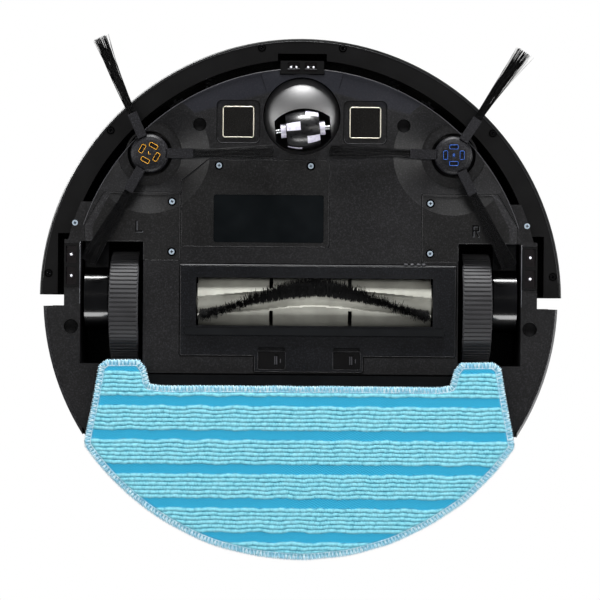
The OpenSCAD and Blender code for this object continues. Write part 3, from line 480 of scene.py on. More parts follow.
def cloth_relief(points):
    """Height of the terry side, how far up a rib each point is (it also sets the painted light and shade of the
    cloth), and whether it is on a flat stripe.
    """
    x, y = points.T
    wander = 0.42 * ripple(points, 3, 17.0) + 0.20 * ripple(points, 4, 5.0)
    along = (y + wander - STRIPE_START) % STRIPE_PERIOD
    stripe = (along < STRIPE_WIDE).astype(float)
    rib = (along - STRIPE_WIDE) / RIB_PITCH
    number = np.floor((y - STRIPE_START) / STRIPE_PERIOD) * 7 + np.floor(rib)
    crest = np.sqrt(np.abs(np.sin(math.pi * rib)))
    loops = 0.5 + 0.5 * np.cos(math.tau * x / LOOP_PITCH + number * 2.4 + 1.3 * ripple(points, 5, 4.0))
    lush = crest * (0.66 + 0.22 * loops + 0.14 * ripple(points, 6, 3.3))
    dots = np.cos(math.tau * x / 2.4) * np.cos(math.tau * along / (STRIPE_WIDE / 4))
    height = np.where(stripe > 0, STRIPE_Z + 0.12 * dots, GAP_Z + (CREST_Z - GAP_Z) * np.clip(lush, 0, 1.05))
    return height, np.where(stripe > 0, 0.5 + 0.5 * dots, np.clip(lush, 0, 1)), stripe


def cloth_material():
    """Looped microfibre: rib tops painted paler and gaps painted darker as painted light and shade, flat woven
    stripes and a paler hem.
    """
    n = Nodes("mop_terry")
    where = n.coords()
    lush = n.attribute("lush")
    stripe = n.attribute("stripe")
    hem = n.attribute("hem")
    fibres = n.noise(2100.0, 3.0, where, 0.65)
    patches = n.noise(160.0, 2.0, where)
    shade_and_fibres = n.math("ADD", lush, n.remap(fibres, -0.22, 0.22, 0.3, 0.7))
    # painted shade and light: gaps between ribs darker, rib tops paler, by rib height
    terry = n.ramp(shade_and_fibres, rgb(16, 118, 150), rgb(134, 214, 230), 0.18, 0.78)
    terry = n.mix(n.remap(patches, 0.0, 0.25, 0.4, 0.75), terry, rgb(168, 228, 238))
    # the woven stripes' dots get painted shade and light the same way, by their height
    woven = n.ramp(n.math("ADD", lush, n.remap(fibres, -0.2, 0.2, 0.3, 0.7)),
                   rgb(14, 136, 184), rgb(52, 182, 218), 0.2, 0.8)
    tone = n.mix(stripe, terry, woven)
    tone = n.mix(n.math("MULTIPLY", hem, 0.55), tone, rgb(150, 212, 232))
    return n.finish(Base_Color=tone, Roughness=0.92, Sheen_Weight=0.35, Sheen_Roughness=0.5,
                    Specular_IOR_Level=0.25, Normal=n.bump(fibres, 0.00025))


def cloth_grid(edge):
    """Points and quads of a grid inside an outline, its rim moved onto the outline."""
    low, high = edge.min(0) - 1, edge.max(0) + 1
    columns, rows = (int((high[axis] - low[axis]) / CLOTH_STEP[axis]) + 2 for axis in (0, 1))
    grid = np.stack(np.meshgrid(low[0] + np.arange(columns) * CLOTH_STEP[0],
                                low[1] + np.arange(rows) * CLOTH_STEP[1]), -1).reshape(-1, 2)
    first = (np.arange(rows - 1)[:, None] * columns + np.arange(columns - 1)).ravel()
    quads = np.column_stack([first, first + columns, first + columns + 1, first + 1])
    quads = quads[inside(grid[quads].mean(1), edge)]
    used, index = np.unique(quads, return_inverse=True)
    quads, points = index.reshape(-1, 4), grid[used]
    corners = np.vstack([quads[:, [k, (k + 1) % 4]] for k in range(4)])
    sides, uses = np.unique(np.sort(corners, axis=1), axis=0, return_counts=True)
    rim = np.unique(sides[uses == 1])
    points[rim] = edge_distance(points[rim], edge)[1]
    return points, quads


def make_cloth():
    """Terry cloth over the mop plate, hemmed, as a flat sheet held stretched."""
    outline = bottom_outline("mop_cloth")
    edge, outward = resample(outline, 1.1)
    edge = edge - outward * (0.55 + 0.25 * ripple(edge, 9, 34.0))[:, None]
    points, quads = cloth_grid(edge)
    far, _ = edge_distance(points, edge)
    height, lush, stripe = cloth_relief(points)
    flat = np.clip(1 - (far - HEM_WIDE) / 1.2, 0, 1)
    height = height * (1 - flat) + HEM_Z * flat
    height[far < 1e-6] = HEM_Z + 0.5
    vertices = np.column_stack([points, height]) * MM
    mesh = bpy.data.meshes.new("mop_terry")
    mesh.from_pydata(vertices.tolist(), [], quads.tolist())
    for name, values in (("lush", lush), ("stripe", stripe), ("hem", flat)):
        mesh.attributes.new(name, "FLOAT", "POINT").data.foreach_set("value", values.astype(np.float32))
    work = bmesh.new()
    work.from_mesh(mesh)
    made = bmesh.ops.extrude_edge_only(work, edges=[edge for edge in work.edges if edge.is_boundary])
    rim_edges = [item for item in made["geom"] if isinstance(item, bmesh.types.BMEdge)]
    for vert in {vert for edge in rim_edges for vert in edge.verts}:
        vert.co.z = CLOTH_TOP_Z * MM
    bmesh.ops.edgeloop_fill(work, edges=rim_edges)
    bmesh.ops.recalc_face_normals(work, faces=work.faces)
    work.to_mesh(mesh)
    work.free()
    cloth = piece("mop_terry", mesh, cloth_material(), "tank", slot="mop_microfibre", replaces=("mop_cloth",))
    hem = make_hem(edge)


def section(point, heading, radius, sides, flat=1.0):
    """Ring of points square to a heading. flat squeezes it in height."""
    heading = heading.normalized()
    side = heading.cross(Vector((0, 0, 1)))
    side = side.normalized() if side.length > 1e-6 else Vector((1, 0, 0))
    over = side.cross(heading) * flat
    return [point + (side * math.cos(a) + over * math.sin(a)) * radius
            for a in (math.tau * k / sides for k in range(sides))]


def tube(work, path, radius, sides=5, cap=False):
    """Thin round strand along a path of points, drawn in at its ends."""
    last = len(path) - 1
    loft(work, [section(point, path[min(index + 1, last)] - path[max(index - 1, 0)],
                        radius * (END_SHARE if index in (0, last) else 1.0), sides)
                for index, point in enumerate(path)], caps=cap)


def hem_material():
    """Pale blue and white overlock thread."""
    n = Nodes("hem_thread")
    where = n.coords()
    fibres = n.noise(3000.0, 2.0, where)
    tone = n.ramp(n.noise(400.0, 3.0, where), rgb(132, 196, 222), rgb(214, 236, 244), 0.35, 0.65)
    return n.finish(Base_Color=tone, Roughness=0.8, Sheen_Weight=0.3, Normal=n.bump(fibres, 0.0001))


def make_hem(edge):
    """Overlock stitching: threads that wrap the cloth's edge, and a chain along their inner ends."""
    spots, outward = resample(edge, STITCH_PITCH / 2)
    count = len(spots)
    rng = random.Random(7)

    def thread(work, points, radius, sides=5):
        """Strand through points in mm, each with its own height."""
        tube(work, [Vector((point.x, point.y, z)) * MM for point, z in points], radius * MM, sides=sides)

    def build(work):
        places = [Vector((*spot, 0)) for spot in spots]
        outs = [Vector((*out, 0)) for out in outward]
        for index, (here, out) in enumerate(zip(places, outs)):
            slant = 0.55 if index % 2 else -0.25
            along = (places[(index + 1) % count] - here).normalized()
            reach = HEM_WIDE + rng.uniform(-0.35, 0.35)
            thread(work, [(here - out * reach + along * slant, HEM_Z - 0.10),
                          (here - out * reach * 0.5 + along * slant * 0.4, HEM_Z - 0.42),
                          (here - out * 0.25, HEM_Z - 0.30),
                          (here + out * 0.30 - along * slant * 0.2, 2.1),
                          (here - out * 0.4 - along * slant * 0.4, 2.85)], 0.40 + rng.uniform(-0.05, 0.05))
        for index, out in enumerate(outs):
            here, there = (places[k % count] - outs[k % count] * HEM_WIDE for k in (index, index + 1))
            thread(work, [(here, HEM_Z - 0.2), ((here + there) / 2 - out * 0.35, HEM_Z - 0.5),
                          (there, HEM_Z - 0.2)], 0.26, sides=4)

    return build_piece("mop_hem", build, hem_material(), "tank", slot="mop_microfibre")


make_cloth()


# ---------- main brush ----------

ROLLER_AXIS = joint_pos("roller_spin")
ROLLER_MIDDLE = 8.85          # X of the point of every V, mm
HALF_SPAN = 75.0
SLEEVE_R, LIP_R, BELLY_R, SLIT_R = 14.4, 16.6, 15.6, 11.9
VALLEY_HALF = 20.5            # degrees either side of a tuft row's valley
SLITS = (-18.6, 31.3)
SLIT_HALF, SLIT_INSET = 1.15, 6.5
TUFT_PITCH, TUFT_STRANDS = 3.8, 80
TUFT_ROOT, TUFT_TIP = (-11.0, 35.0), (-50.0, 90.0)   # degrees at the point of the V, and more at its ends
VALLEY = (-11.5, 22.5)
VEE_ROUND = 0.02
SLEEVE_INNER_R = 9.0
TUFT_TIP_R, TUFT_ROOT_R = 19.4, 12.6


def vee(x):
    """0 at the point of the V and 1 at the brush's ends, rounded at the point."""
    share = abs(x - ROLLER_MIDDLE) / HALF_SPAN
    least = math.sqrt(VEE_ROUND)
    return (math.sqrt(share * share + VEE_ROUND) - least) / (math.sqrt(1 + VEE_ROUND) - least)


def on_roller(x, radius, degrees):
    """Point on the brush: degrees from straight down, turning towards +Y."""
    angle = math.radians(degrees)
    return Vector((x * MM, ROLLER_AXIS.y + radius * MM * math.sin(angle),
                   ROLLER_AXIS.z - radius * MM * math.cos(angle)))


def blade_radius(x, degrees):
    """Surface of the rubber sleeve: three valleys for bristles between three wide raised lips with slits."""
    middle = VALLEY[0] + VALLEY[1] * vee(x)
    past = (degrees - middle + VALLEY_HALF) % 120.0 - 2 * VALLEY_HALF
    span = 120.0 - 2 * VALLEY_HALF
    if past < 0:
        return SLEEVE_R, False
    lip = past / span
    radius = BELLY_R + (LIP_R - BELLY_R) * (2 * lip - 1) ** 2
    inside_lip = SLIT_INSET < past < span - SLIT_INSET
    if inside_lip and min(abs(x - slit) for slit in SLITS) < SLIT_HALF:
        return SLIT_R, True
    return radius, False


def make_roller_rubber():
    """Rubber sleeve of the main brush, with painted shade: its slit floors painted near black."""
    low, high = (corner.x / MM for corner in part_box("brush_blades"))
    near_slits = [slit + side * offset for slit in SLITS for side in (-1, 1)
                  for offset in (SLIT_HALF - 0.12, SLIT_HALF + 0.12)]
    places = sorted(set(np.linspace(low + 0.4, high - 0.4, 90).tolist() + near_slits))
    turn = [index * 2.0 for index in range(180)]
    rows = [[blade_radius(x, degrees) for degrees in turn] for x in places]

    def build(work):
        rings = [[on_roller(x, radius, degrees) for (radius, _), degrees in zip(row, turn)]
                 for x, row in zip(places, rows)]
        inner = [[on_roller(x, SLEEVE_INNER_R, degrees) for degrees in turn] for x in (places[0], places[-1])]
        loft(work, [inner[0], *rings, inner[1]])

    mesh = mesh_of("roller_rubber", build)
    # painted shade: 0 at the floor of a slit, 1 elsewhere
    outside_slit_shade = np.ones(len(mesh.vertices), np.float32)
    flags = [flag for row in rows for _, flag in row]
    outside_slit_shade[len(turn):len(turn) + len(flags)] = [0.0 if flag else 1.0 for flag in flags]
    mesh.attributes.new("face", "FLOAT", "POINT").data.foreach_set("value", outside_slit_shade)
    n = Nodes("roller_cream")
    where = n.coords()
    bloom = n.noise(70.0, 4.0, where)
    tone = n.ramp(bloom, rgb(150, 150, 142), rgb(174, 174, 166), 0.35, 0.7)
    face = n.attribute("face")
    # painted shade: the slit floors go near black
    tone = n.mix(face, rgb(6, 6, 6), tone)
    fine = n.noise(900.0, 3.0, where)
    material = n.finish(Base_Color=tone, Roughness=n.remap(bloom, 0.62, 0.78, 0.3, 0.7),
                        Specular_IOR_Level=0.2, Normal=n.bump(fine, 0.00004))
    rubber_piece = piece("roller_rubber", mesh, material, "roller", slot="cream_rubber",
                         replaces=("brush_blades",))
    smooth_by_angle(rubber_piece, 40.0)


def bristle_material(name, base, tip, shine):
    """Nylon strands between two tones."""
    n = Nodes(name)
    where = n.coords()
    strands = n.noise(800.0, 2.0, where)
    tone = n.ramp(strands, base, tip, 0.35, 0.75)
    return n.finish(Base_Color=tone, Roughness=shine, Specular_IOR_Level=0.2,
                    Normal=n.bump(n.noise(4000.0, 2.0, where), 0.00003))


def make_roller_tufts():
    """Three rows of bristle tufts that follow the brush's V."""
    rng = random.Random(11)
    low, high = (corner.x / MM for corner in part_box("brush_blades"))
    count = int((high - low - 3.0) / TUFT_PITCH)
    start = (low + high - (count - 1) * TUFT_PITCH) / 2

    def build(work):
        for row in range(3):
            for index in range(count):
                x = start + index * TUFT_PITCH
                share = vee(x)
                root, tip = (first + more * share + row * 120.0 for first, more in (TUFT_ROOT, TUFT_TIP))
                for _ in range(TUFT_STRANDS):
                    spread, swing = rng.gauss(0, 1.05), rng.gauss(0, 2.6)
                    dx, da = rng.gauss(0, 1.0), rng.gauss(0, 5.0)
                    reach = TUFT_TIP_R - abs(rng.gauss(0, 0.5))
                    lean = rng.uniform(0.85, 1.0)
                    path = [on_roller(x + spread * 0.8, TUFT_ROOT_R, root + swing),
                            on_roller(x + spread + dx * 0.3, (TUFT_ROOT_R + reach) / 2 + 0.5,
                                      root + swing + (tip - root + da) * 0.38 * lean),
                            on_roller(x + spread + dx, reach, root + swing + (tip - root + da) * lean)]
                    tube(work, path, 0.24 * MM, sides=3)

    material = bristle_material("roller_tufts", rgb(3, 3, 4), rgb(12, 12, 13), 0.6)
    build_piece("roller_tufts", build, material, "roller", slot="bristle", replaces=("brush_tufts",))


make_roller_rubber()
make_roller_tufts()


# ---------- side brushes ----------

SIDE_BRUSH_ARMS = {"left": (-114, 0, 119), "right": (-57, -178, 63)}
SLEEVE_END, BRISTLE_END = 26.2, 79.0
SLEEVE_MIDDLE_Z, BRISTLE_DROP = 6.7, 5.1
STRANDS = 150


def side_brush_point(side, angle, along, across, up):
    """Point on one arm of a side brush: mm along the arm, across it and up from the sleeve's middle."""
    middle = joint_pos("side_brush_" + side + "_spin")
    turn = math.radians(angle)
    return Vector((middle.x + (along * math.cos(turn) - across * math.sin(turn)) * MM,
                   middle.y + (along * math.sin(turn) + across * math.cos(turn)) * MM,
                   (SLEEVE_MIDDLE_Z + up) * MM))


def make_side_bristles(side, seed):
    """Fanned bristles beyond the three sleeves of one side brush."""
    rng = random.Random(seed)
    fall = math.tan(math.radians(BRISTLE_DROP))

    def build(work):
        for number, angle in enumerate(SIDE_BRUSH_ARMS[side]):
            sweep = (1.4, -1.0, 0.5)[number]
            for _ in range(STRANDS):
                start, layer = rng.uniform(-2.3, 2.3), rng.uniform(-0.8, 0.8)
                tip = start * 1.7 + rng.gauss(0, 0.95)
                if rng.random() < 0.10:
                    tip += rng.uniform(-3.0, 3.0)
                reach = BRISTLE_END - abs(rng.gauss(0, 0.7))
                if rng.random() < 0.1:
                    reach -= rng.uniform(0, 7)
                curl, lift = rng.gauss(0, 0.5), rng.uniform(-0.25, 0.25)
                path = []
                for step in range(7):
                    share = step / 6
                    along = SLEEVE_END + (reach - SLEEVE_END) * share
                    across = start + (tip - start) * share ** 1.5
                    across += (sweep * share * share + curl * math.sin(math.pi * share)) * 0.8
                    drop = (along - SLEEVE_END) * fall
                    path.append(side_brush_point(side, angle, along, across, layer * (1 - 0.35 * share)
                                                 + lift * share - drop))
                tube(work, path, 0.14 * MM, sides=3)

    name = "bristles_" + side
    build_piece(name, build, BRISTLES, "side_brush_" + side, slot="bristle",
                replaces=("side_bristles_" + side,))


BRISTLES = bristle_material("side_bristle", rgb(3, 3, 4), rgb(22, 22, 24), 0.34)
make_side_bristles("left", 21)
make_side_bristles("right", 22)


# ---------- drive wheels ----------

RIB_COUNT = 76
TYRE_ROUND = 2.2
TYRE_DEEP, TYRE_GROOVE = 5.4, 0.6


def make_tyre(side):
    """Tyre with square cross ribs and a plain band at each edge."""
    low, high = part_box("tyre_" + side)
    middle = joint_pos("wheel_" + side + "_spin")
    outer = (high.z - low.z) / 2 / MM
    inner, half = outer - TYRE_DEEP, (high.x - low.x) / 2 / MM
    profile = [(inner, -half + 0.4), (outer - TYRE_ROUND, -half), (outer - 1.0, -half + 0.12),
               (outer - 0.55, -half + 0.5)]
    profile += [(outer, -half + 0.9), (outer, -half + 2.6), (outer, 0.0)]
    profile += [(radius, -place) for radius, place in reversed(profile[:-1])]
    ribbed = {index for index, (radius, place) in enumerate(profile) if radius >= outer - 1e-6}

    def build(work):
        rings = []
        for rib in range(RIB_COUNT):
            for share, raised in ((0.04, True), (0.50, True), (0.56, False), (0.98, False)):
                turn = math.tau * (rib + share) / RIB_COUNT
                ring = []
                for index, (radius, place) in enumerate(profile):
                    size = radius - (TYRE_GROOVE if index in ribbed and not raised else 0.0)
                    ring.append(Vector((middle.x + place * MM, middle.y + size * MM * math.sin(turn),
                                        middle.z + size * MM * math.cos(turn))))
                rings.append(ring)
        loft(work, rings, closed=True)

    name = "ribbed_tyre_" + side
    tyre = build_piece(name, build, TYRE_RUBBER, "wheel_" + side, slot="tyre_rubber",
                 replaces=("tyre_" + side,))
    smooth_by_angle(tyre, 32.0)


make_tyre("left")
make_tyre("right")


# ---------- small parts ----------

def loop_bead(work, points, radius, sides=6, flat=1.0):
    """Round bead along a closed loop of points. flat squeezes it in height."""
    count = len(points)
    loft(work, [section(point, points[(index + 1) % count] - points[index - 1], radius, sides, flat)
                for index, point in enumerate(points)], closed=True)


def round_box(half_w, half_l, corner, steps=5):
    """Rounded rectangle round the origin, as (x, y) pairs in mm."""
    points = []
    for sx, sy, start in ((1, 1, 0), (-1, 1, 90), (-1, -1, 180), (1, -1, 270)):
        for step in range(steps + 1):
            turn = math.radians(start + 90 * step / steps)
            points.append((sx * (half_w - corner) + corner * math.cos(turn),
                           sy * (half_l - corner) + corner * math.sin(turn)))
    return points


def on_plane(points, middle, z, turn=0.0):
    """(x, y) pairs in mm, turned and moved to a middle in metres, at a height."""
    c, s = math.cos(turn), math.sin(turn)
    return [Vector((middle[0] + (x * c - y * s) * MM, middle[1] + (x * s + y * c) * MM, z))
            for x, y in points]


SEAM_Z = UNDERSIDE_Z + 0.02 * MM
GROOVE_Z = UNDERSIDE_Z + 0.05 * MM
PAD_HALF = 9.9
WEAR = metal("pad_rim", rgb(226, 220, 204), 0.32, brushed=False)


def pad_middle(sign):
    """Middle of the charging pad on one side."""
    low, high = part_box("charge_contacts")
    return sign * (high.x - PAD_HALF * MM), (low.y + high.y) / 2


def make_pads():
    """Bright worn edge round each dark charging pad."""
    for side, sign in SIDES.items():
        path = on_plane(round_box(PAD_HALF - 0.25, PAD_HALF - 0.25, 1.3), pad_middle(sign),
                        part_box("charge_contacts")[0].z + 0.05 * MM)
        build_piece("pad_rim_" + side, lambda work: loop_bead(work, path, 0.34 * MM, flat=0.6), WEAR,
                    "chassis", slot="contact_steel")


CASTER_ROWS = ((-10.2, -1.4, -8.0), (2.4, 10.4, 37.0))   # mm along the axle, first mark's degrees
MARK_EVERY, MARK_HALF = 90.0, 12.6                       # degrees
CASTER_END = 10.75


def caster_material():
    """Black wheel with light counting marks in two staggered rows, and light hub ends."""
    n = Nodes("caster_wheel")
    where = n.coords()
    middle = joint_pos("caster_spin")
    axis = Vector(next(j for j in frame["joints"] if j["name"] == "caster_spin")["axis"]).normalized()
    across = Vector((-axis.y, axis.x, 0.0))
    local = n.add("ShaderNodeVectorMath", {"operation": "SUBTRACT"})
    n.plug(local, "0", where)
    n.plug(local, "1", tuple(middle))

    def along(direction):
        node = n.add("ShaderNodeVectorMath", {"operation": "DOT_PRODUCT"})
        n.plug(node, "0", local.outputs[0])
        n.plug(node, "1", tuple(direction))
        return node.outputs["Value"]

    place = n.math("MULTIPLY", along(axis), 1000.0)
    turn = n.math("MULTIPLY", n.math("ARCTAN2", along(across), along((0, 0, -1))), 180 / math.pi)
    marks = []
    for low, high, start in CASTER_ROWS:
        shifted = n.math("FLOORED_MODULO", n.math("SUBTRACT", turn, start - MARK_EVERY / 2), MARK_EVERY)
        near = n.math("LESS_THAN", n.math("ABSOLUTE", n.math("SUBTRACT", shifted, MARK_EVERY / 2)), MARK_HALF)
        row = n.math("MULTIPLY", n.math("GREATER_THAN", place, low), n.math("LESS_THAN", place, high))
        marks.append(n.math("MULTIPLY", near, row))
    ends = n.math("GREATER_THAN", n.math("ABSOLUTE", place), CASTER_END)
    mark = n.math("MAXIMUM", n.math("MAXIMUM", marks[0], marks[1]), ends)
    scuff = n.noise(500.0, 3.0, where)
    dark = n.ramp(scuff, rgb(11, 11, 13), rgb(22, 22, 25), 0.35, 0.75)
    light = n.ramp(scuff, rgb(206, 202, 226), rgb(232, 230, 244), 0.3, 0.6)
    return n.finish(Base_Color=n.mix(mark, dark, light), Roughness=n.remap(scuff, 0.26, 0.40, 0.3, 0.7),
                    Coat_Weight=0.25, Coat_Roughness=0.12)


def bars(work, strokes, middle, z, depth, turn=0.0):
    """Raised strokes, each an (x, y, half width, half length, angle) in mm."""
    for x, y, half_w, half_l, angle in strokes:
        a = math.radians(angle)
        corners = [(x + sx * half_w * math.cos(a) - sy * half_l * math.sin(a),
                    y + sx * half_w * math.sin(a) + sy * half_l * math.cos(a))
                   for sx, sy in ((-1, -1), (1, -1), (1, 1), (-1, 1))]
        base = on_plane(corners, middle, z, turn)
        loft(work, [base, [point - Vector((0, 0, depth)) for point in base]])


LETTER = {
    "left": [(-1.9, 0.0, 0.45, 3.6, 0), (0.2, -3.15, 2.0, 0.45, 0)],
    "right": [(-1.8, 0.0, 0.45, 3.6, 0), (0.0, 3.15, 1.8, 0.45, 0), (0.0, 0.1, 1.8, 0.45, 0),
              (1.75, 1.6, 0.45, 1.5, 0), (0.75, -1.9, 0.45, 2.1, 28)],
}
# painted shade and light on the letters: a near-black stroke for the shade in each groove, and a lighter shifted
# copy as the painted highlight on its edge
LETTER_SHADE = smooth_plastic("letter", rgb(4, 4, 5), 0.6, specular=0.1)
LETTER_LIT = smooth_plastic("letter_lit", rgb(74, 76, 80), 0.4)
LETTER_LIT_SHIFT = 0.4        # from a stroke to its lit edge, in mm
LETTER_SPOTS = {"left": (-0.1024, -0.0446), "right": (0.1105, -0.0432)}


def make_letters():
    """Side letters moulded on the wheel covers, read from below with the front at the top: each stroke in painted
    shade, with a shifted lighter copy as its painted highlight.
    """
    for side in SIDES:
        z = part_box("wheel_cover_" + side)[0].z + 0.02 * MM
        for name, tone, shift, depth in (("letter_", LETTER_SHADE, 0.0, 0.2),
                                         ("letter_lit_", LETTER_LIT, LETTER_LIT_SHIFT, 0.12)):
            strokes = [(x + shift, shift - y, w, l, -a) for x, y, w, l, a in LETTER[side]]
            build_piece(name + side, lambda work: bars(work, strokes, LETTER_SPOTS[side], z, depth * MM),
                        tone, "chassis", smooth=False, slot="black_textured")


MARK_COLOURS = {"left": rgb(236, 168, 30), "right": rgb(22, 92, 190)}
SLOT_TURN = {"left": 30.0, "right": 0.0}
HUB_SLOT_RISE, HUB_SLOT_R = 0.2 * MM, 5.2 * MM


HUB_LETTER = 0.27             # its size beside a wheel cover's letter
HUB_LETTER_RISE, HUB_LETTER_DEEP = 0.02 * MM, 0.10 * MM


def make_hub_marks():
    """Coloured rims round the four slots of each side brush, and the side letter between them."""
    for side in SIDES:
        low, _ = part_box("side_brush_hub_" + side)
        middle = joint_pos("side_brush_" + side + "_spin")
        material = smooth_plastic("mark_" + side, MARK_COLOURS[side], 0.4)

        def build(work):
            for number in range(4):
                turn = math.radians(90 * number + SLOT_TURN[side])
                spot = (middle.x + HUB_SLOT_R * math.cos(turn), middle.y + HUB_SLOT_R * math.sin(turn))
                rim = on_plane(round_box(1.3, 2.7, 0.6, 3), spot, low.z + HUB_SLOT_RISE, turn)
                loop_bead(work, rim, 0.15 * MM, sides=5)
            small = [(x * HUB_LETTER, -y * HUB_LETTER, half_w * 0.3, half_l * HUB_LETTER, -angle)
                     for x, y, half_w, half_l, angle in LETTER[side]]
            bars(work, small, (middle.x, middle.y), low.z + HUB_LETTER_RISE, HUB_LETTER_DEEP)

        build_piece("hub_marks_" + side, build, material, "side_brush_" + side, slot="grey_plastic")


make_pads()
paint(frame["nodes"]["caster_wheel"], caster_material())
make_letters()
make_hub_marks()


# ---------- painted highlights along edges ---

# two lighter greys; on the beads along edges below they are painted highlights standing in for light glinting on
# those edges, the second one fainter
EDGE_SHINE = smooth_plastic("edge_shine", rgb(64, 64, 68), 0.34)
EDGE_FAINT_GLINT = smooth_plastic("edge_faint_glint", rgb(26, 26, 29), 0.36)
OUTLINE_STEP = 1.5            # between the points of a bead, mm
BUMPER_LIP_Z = 14.1 * MM


def outline_bead(name, node, body, radius, out, z, flat, material, slot):
    """Bead round the bottom of a CAD node, moved out by a distance. Sizes in mm, z in metres."""
    spaced, outward = resample(bottom_outline(node), OUTLINE_STEP)
    path = [Vector((x * MM, y * MM, z)) for x, y in spaced + outward * out]
    build_piece(name, lambda work: loop_bead(work, path, radius * MM, flat=flat), material, body, slot=slot)


def arc_bead(name, body, r, back, z, reach, radius, material):
    """Bead along an arc across the front, reach degrees to each side. back moves its middle, in mm."""
    count = int(math.radians(2 * reach) * r / OUTLINE_STEP)
    turns = [math.radians(2 * reach * index / count - reach) for index in range(count + 1)]
    path = [Vector((r * MM * math.sin(turn), (back - r * math.cos(turn)) * MM, z)) for turn in turns]
    build_piece(name, lambda work: tube(work, path, radius * MM, sides=6, cap=True), material, body,
                slot="black_textured")


# painted highlight: a faint lighter bead just inside the edge of each cover and the guard
for name, node, body, radius in (("glint_cover_left", "wheel_cover_left", "chassis", 0.14),
                                 ("glint_cover_right", "wheel_cover_right", "chassis", 0.14),
                                 ("glint_battery", "battery_cover", "chassis", 0.12),
                                 ("glint_guard", "brush_cover", "guard", 0.15)):
    outline_bead(name, node, body, radius, -radius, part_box(node)[0].z + 0.04 * MM, 0.7, EDGE_FAINT_GLINT,
                 "black_textured")
# painted highlights along the front lip of the plate and the lip of the bumper
arc_bead("plate_lip_front", "chassis", 144.75, 0.0, GROOVE_Z, 72.0, 0.25, EDGE_SHINE)
arc_bead("bumper_lip", "bumper", 163.6, 1.0, BUMPER_LIP_Z, 86.0, 0.22, EDGE_FAINT_GLINT)


# ---------- screws, sensors and edges of the wells ----------

# painted shade: near black standing in for the shade in recesses, grooves, gaps and holes
PAINTED_SHADE = smooth_plastic("soot", rgb(3, 3, 4), 0.7, specular=0.1)
# painted highlight: white for the glints on the sensor lenses
LENS_GLINT = smooth_plastic("lens", rgb(236, 238, 246), 0.12, coat=1.0)
# painted highlight for the edges of the wheel wells
WELL_EDGE_GLINT = smooth_plastic("well_edge", rgb(120, 122, 128), 0.3)


def node_parts(node):
    """Centre, lowest z and half width in metres of each separate shell of a CAD node."""
    work = bmesh.new()
    work.from_mesh(frame["nodes"][node].data)
    work.verts.ensure_lookup_table()
    world = frame["nodes"][node].matrix_world
    seen, parts = set(), []
    for vert in work.verts:
        if vert.index in seen:
            continue
        stack, members = [vert], []
        seen.add(vert.index)
        while stack:
            current = stack.pop()
            members.append(world @ current.co)
            for edge in current.link_edges:
                other = edge.other_vert(current)
                if other.index not in seen:
                    seen.add(other.index)
                    stack.append(other)
        xs, ys, zs = ([point[axis] for point in members] for axis in range(3))
        parts.append((Vector(((min(xs) + max(xs)) / 2, (min(ys) + max(ys)) / 2, min(zs))),
                      (max(xs) - min(xs)) / 2))
    work.free()
    return parts


def disc_ring(work, middle, inner, outer, z, sides=28):
    """Flat ring, its radii in mm."""
    loft(work, [circle(middle, radius, z, sides) for radius in (outer, inner)], caps=False)


SCREW_WELL_R, BUMPER_WELL_R = 2.75, 2.5
SCREW_WELL_Z = UNDERSIDE_Z + 1.15 * MM
MIN_HEAD = 1.05 * MM          # half width of the smallest shell that is a screw's head
PLATE_SCREW_X = 120 * MM      # screws further out have no round well


def make_screw_marks():
    """Painted shade in the cross recess of each plate screw and painted shadow in the well round it."""
    rng = random.Random(5)
    screws = [(spot, half) for spot, half in node_parts("plate_screws") if half >= MIN_HEAD]

    def grime(work):
        for spot, half in screws:
            turn = rng.uniform(0, math.pi / 2)
            bars(work, [(0, 0, 0.12, half / MM * 0.52, quarter) for quarter in (0, 90)], spot,
                 spot.z - 0.01 * MM, 0.02 * MM, turn)

    def wells(work):
        for spot, half in screws:
            if abs(spot.x) < PLATE_SCREW_X:
                disc_ring(work, spot, half / MM + 0.05, SCREW_WELL_R, SCREW_WELL_Z)

    build_piece("shade_plate_screw_crosses", grime, PAINTED_SHADE, "chassis", smooth=False, slot="black_screw")
    build_piece("screw_wells", wells, PAINTED_SHADE, "chassis", smooth=False, slot="black_textured")


def dome_cap(work, spot, radius, height, z, sides=16, rings=4):
    """Low dome hanging from height z."""
    rows = []
    for step in range(rings + 1):
        angle = math.pi / 2 * step / rings
        r, drop = radius * math.cos(angle), height * math.sin(angle)
        rows.append(circle((spot[0] * MM, spot[1] * MM), max(r, 0.02), z - drop * MM, sides))
    loft(work, rows)


FRONT_LENSES, FRONT_LENS_Y = (-7.1, -3.7, 3.7, 7.1), -145.8
SIDE_LENS_X, SIDE_LENSES = 145.0, (-26.4, -13.0)


def make_lenses():
    """Painted glints: a small bright white dome in each window of the cliff sensors stands in for the highlight on
    its lens: two per front window, one per side window.
    """
    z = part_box("cliff_windows")[0].z

    def build(work):
        for x in FRONT_LENSES:
            dome_cap(work, (x, FRONT_LENS_Y), 0.75, 0.5, z)
        for sign in SIDES.values():
            for y in SIDE_LENSES:
                dome_cap(work, (sign * SIDE_LENS_X, y), 0.85, 0.5, z)

    build_piece("sensor_lens_glints", build, LENS_GLINT, "chassis", slot="white_plastic")


WELL_EDGE_X = 139.6


def make_well_edges():
    """Painted highlight: a bright bead along the outer side of each wheel well, standing in for light on its edge.
    """
    for side, sign in SIDES.items():
        path = [Vector((sign * WELL_EDGE_X, y, z)) * MM for y, z in ((-34.6, 9.1), (-20, 9.05), (5, 9.05))]
        build_piece("well_glint_" + side, lambda work: tube(work, path, 0.22 * MM, sides=6, cap=True),
                    WELL_EDGE_GLINT, "chassis", slot="black_satin")


KNUCKLES = (66.5, 70.4, 74.4, 77.6)
KNUCKLE_FRONT, KNUCKLE_RISE = 0.45, 0.35      # ahead of the guard's edge, and above its face


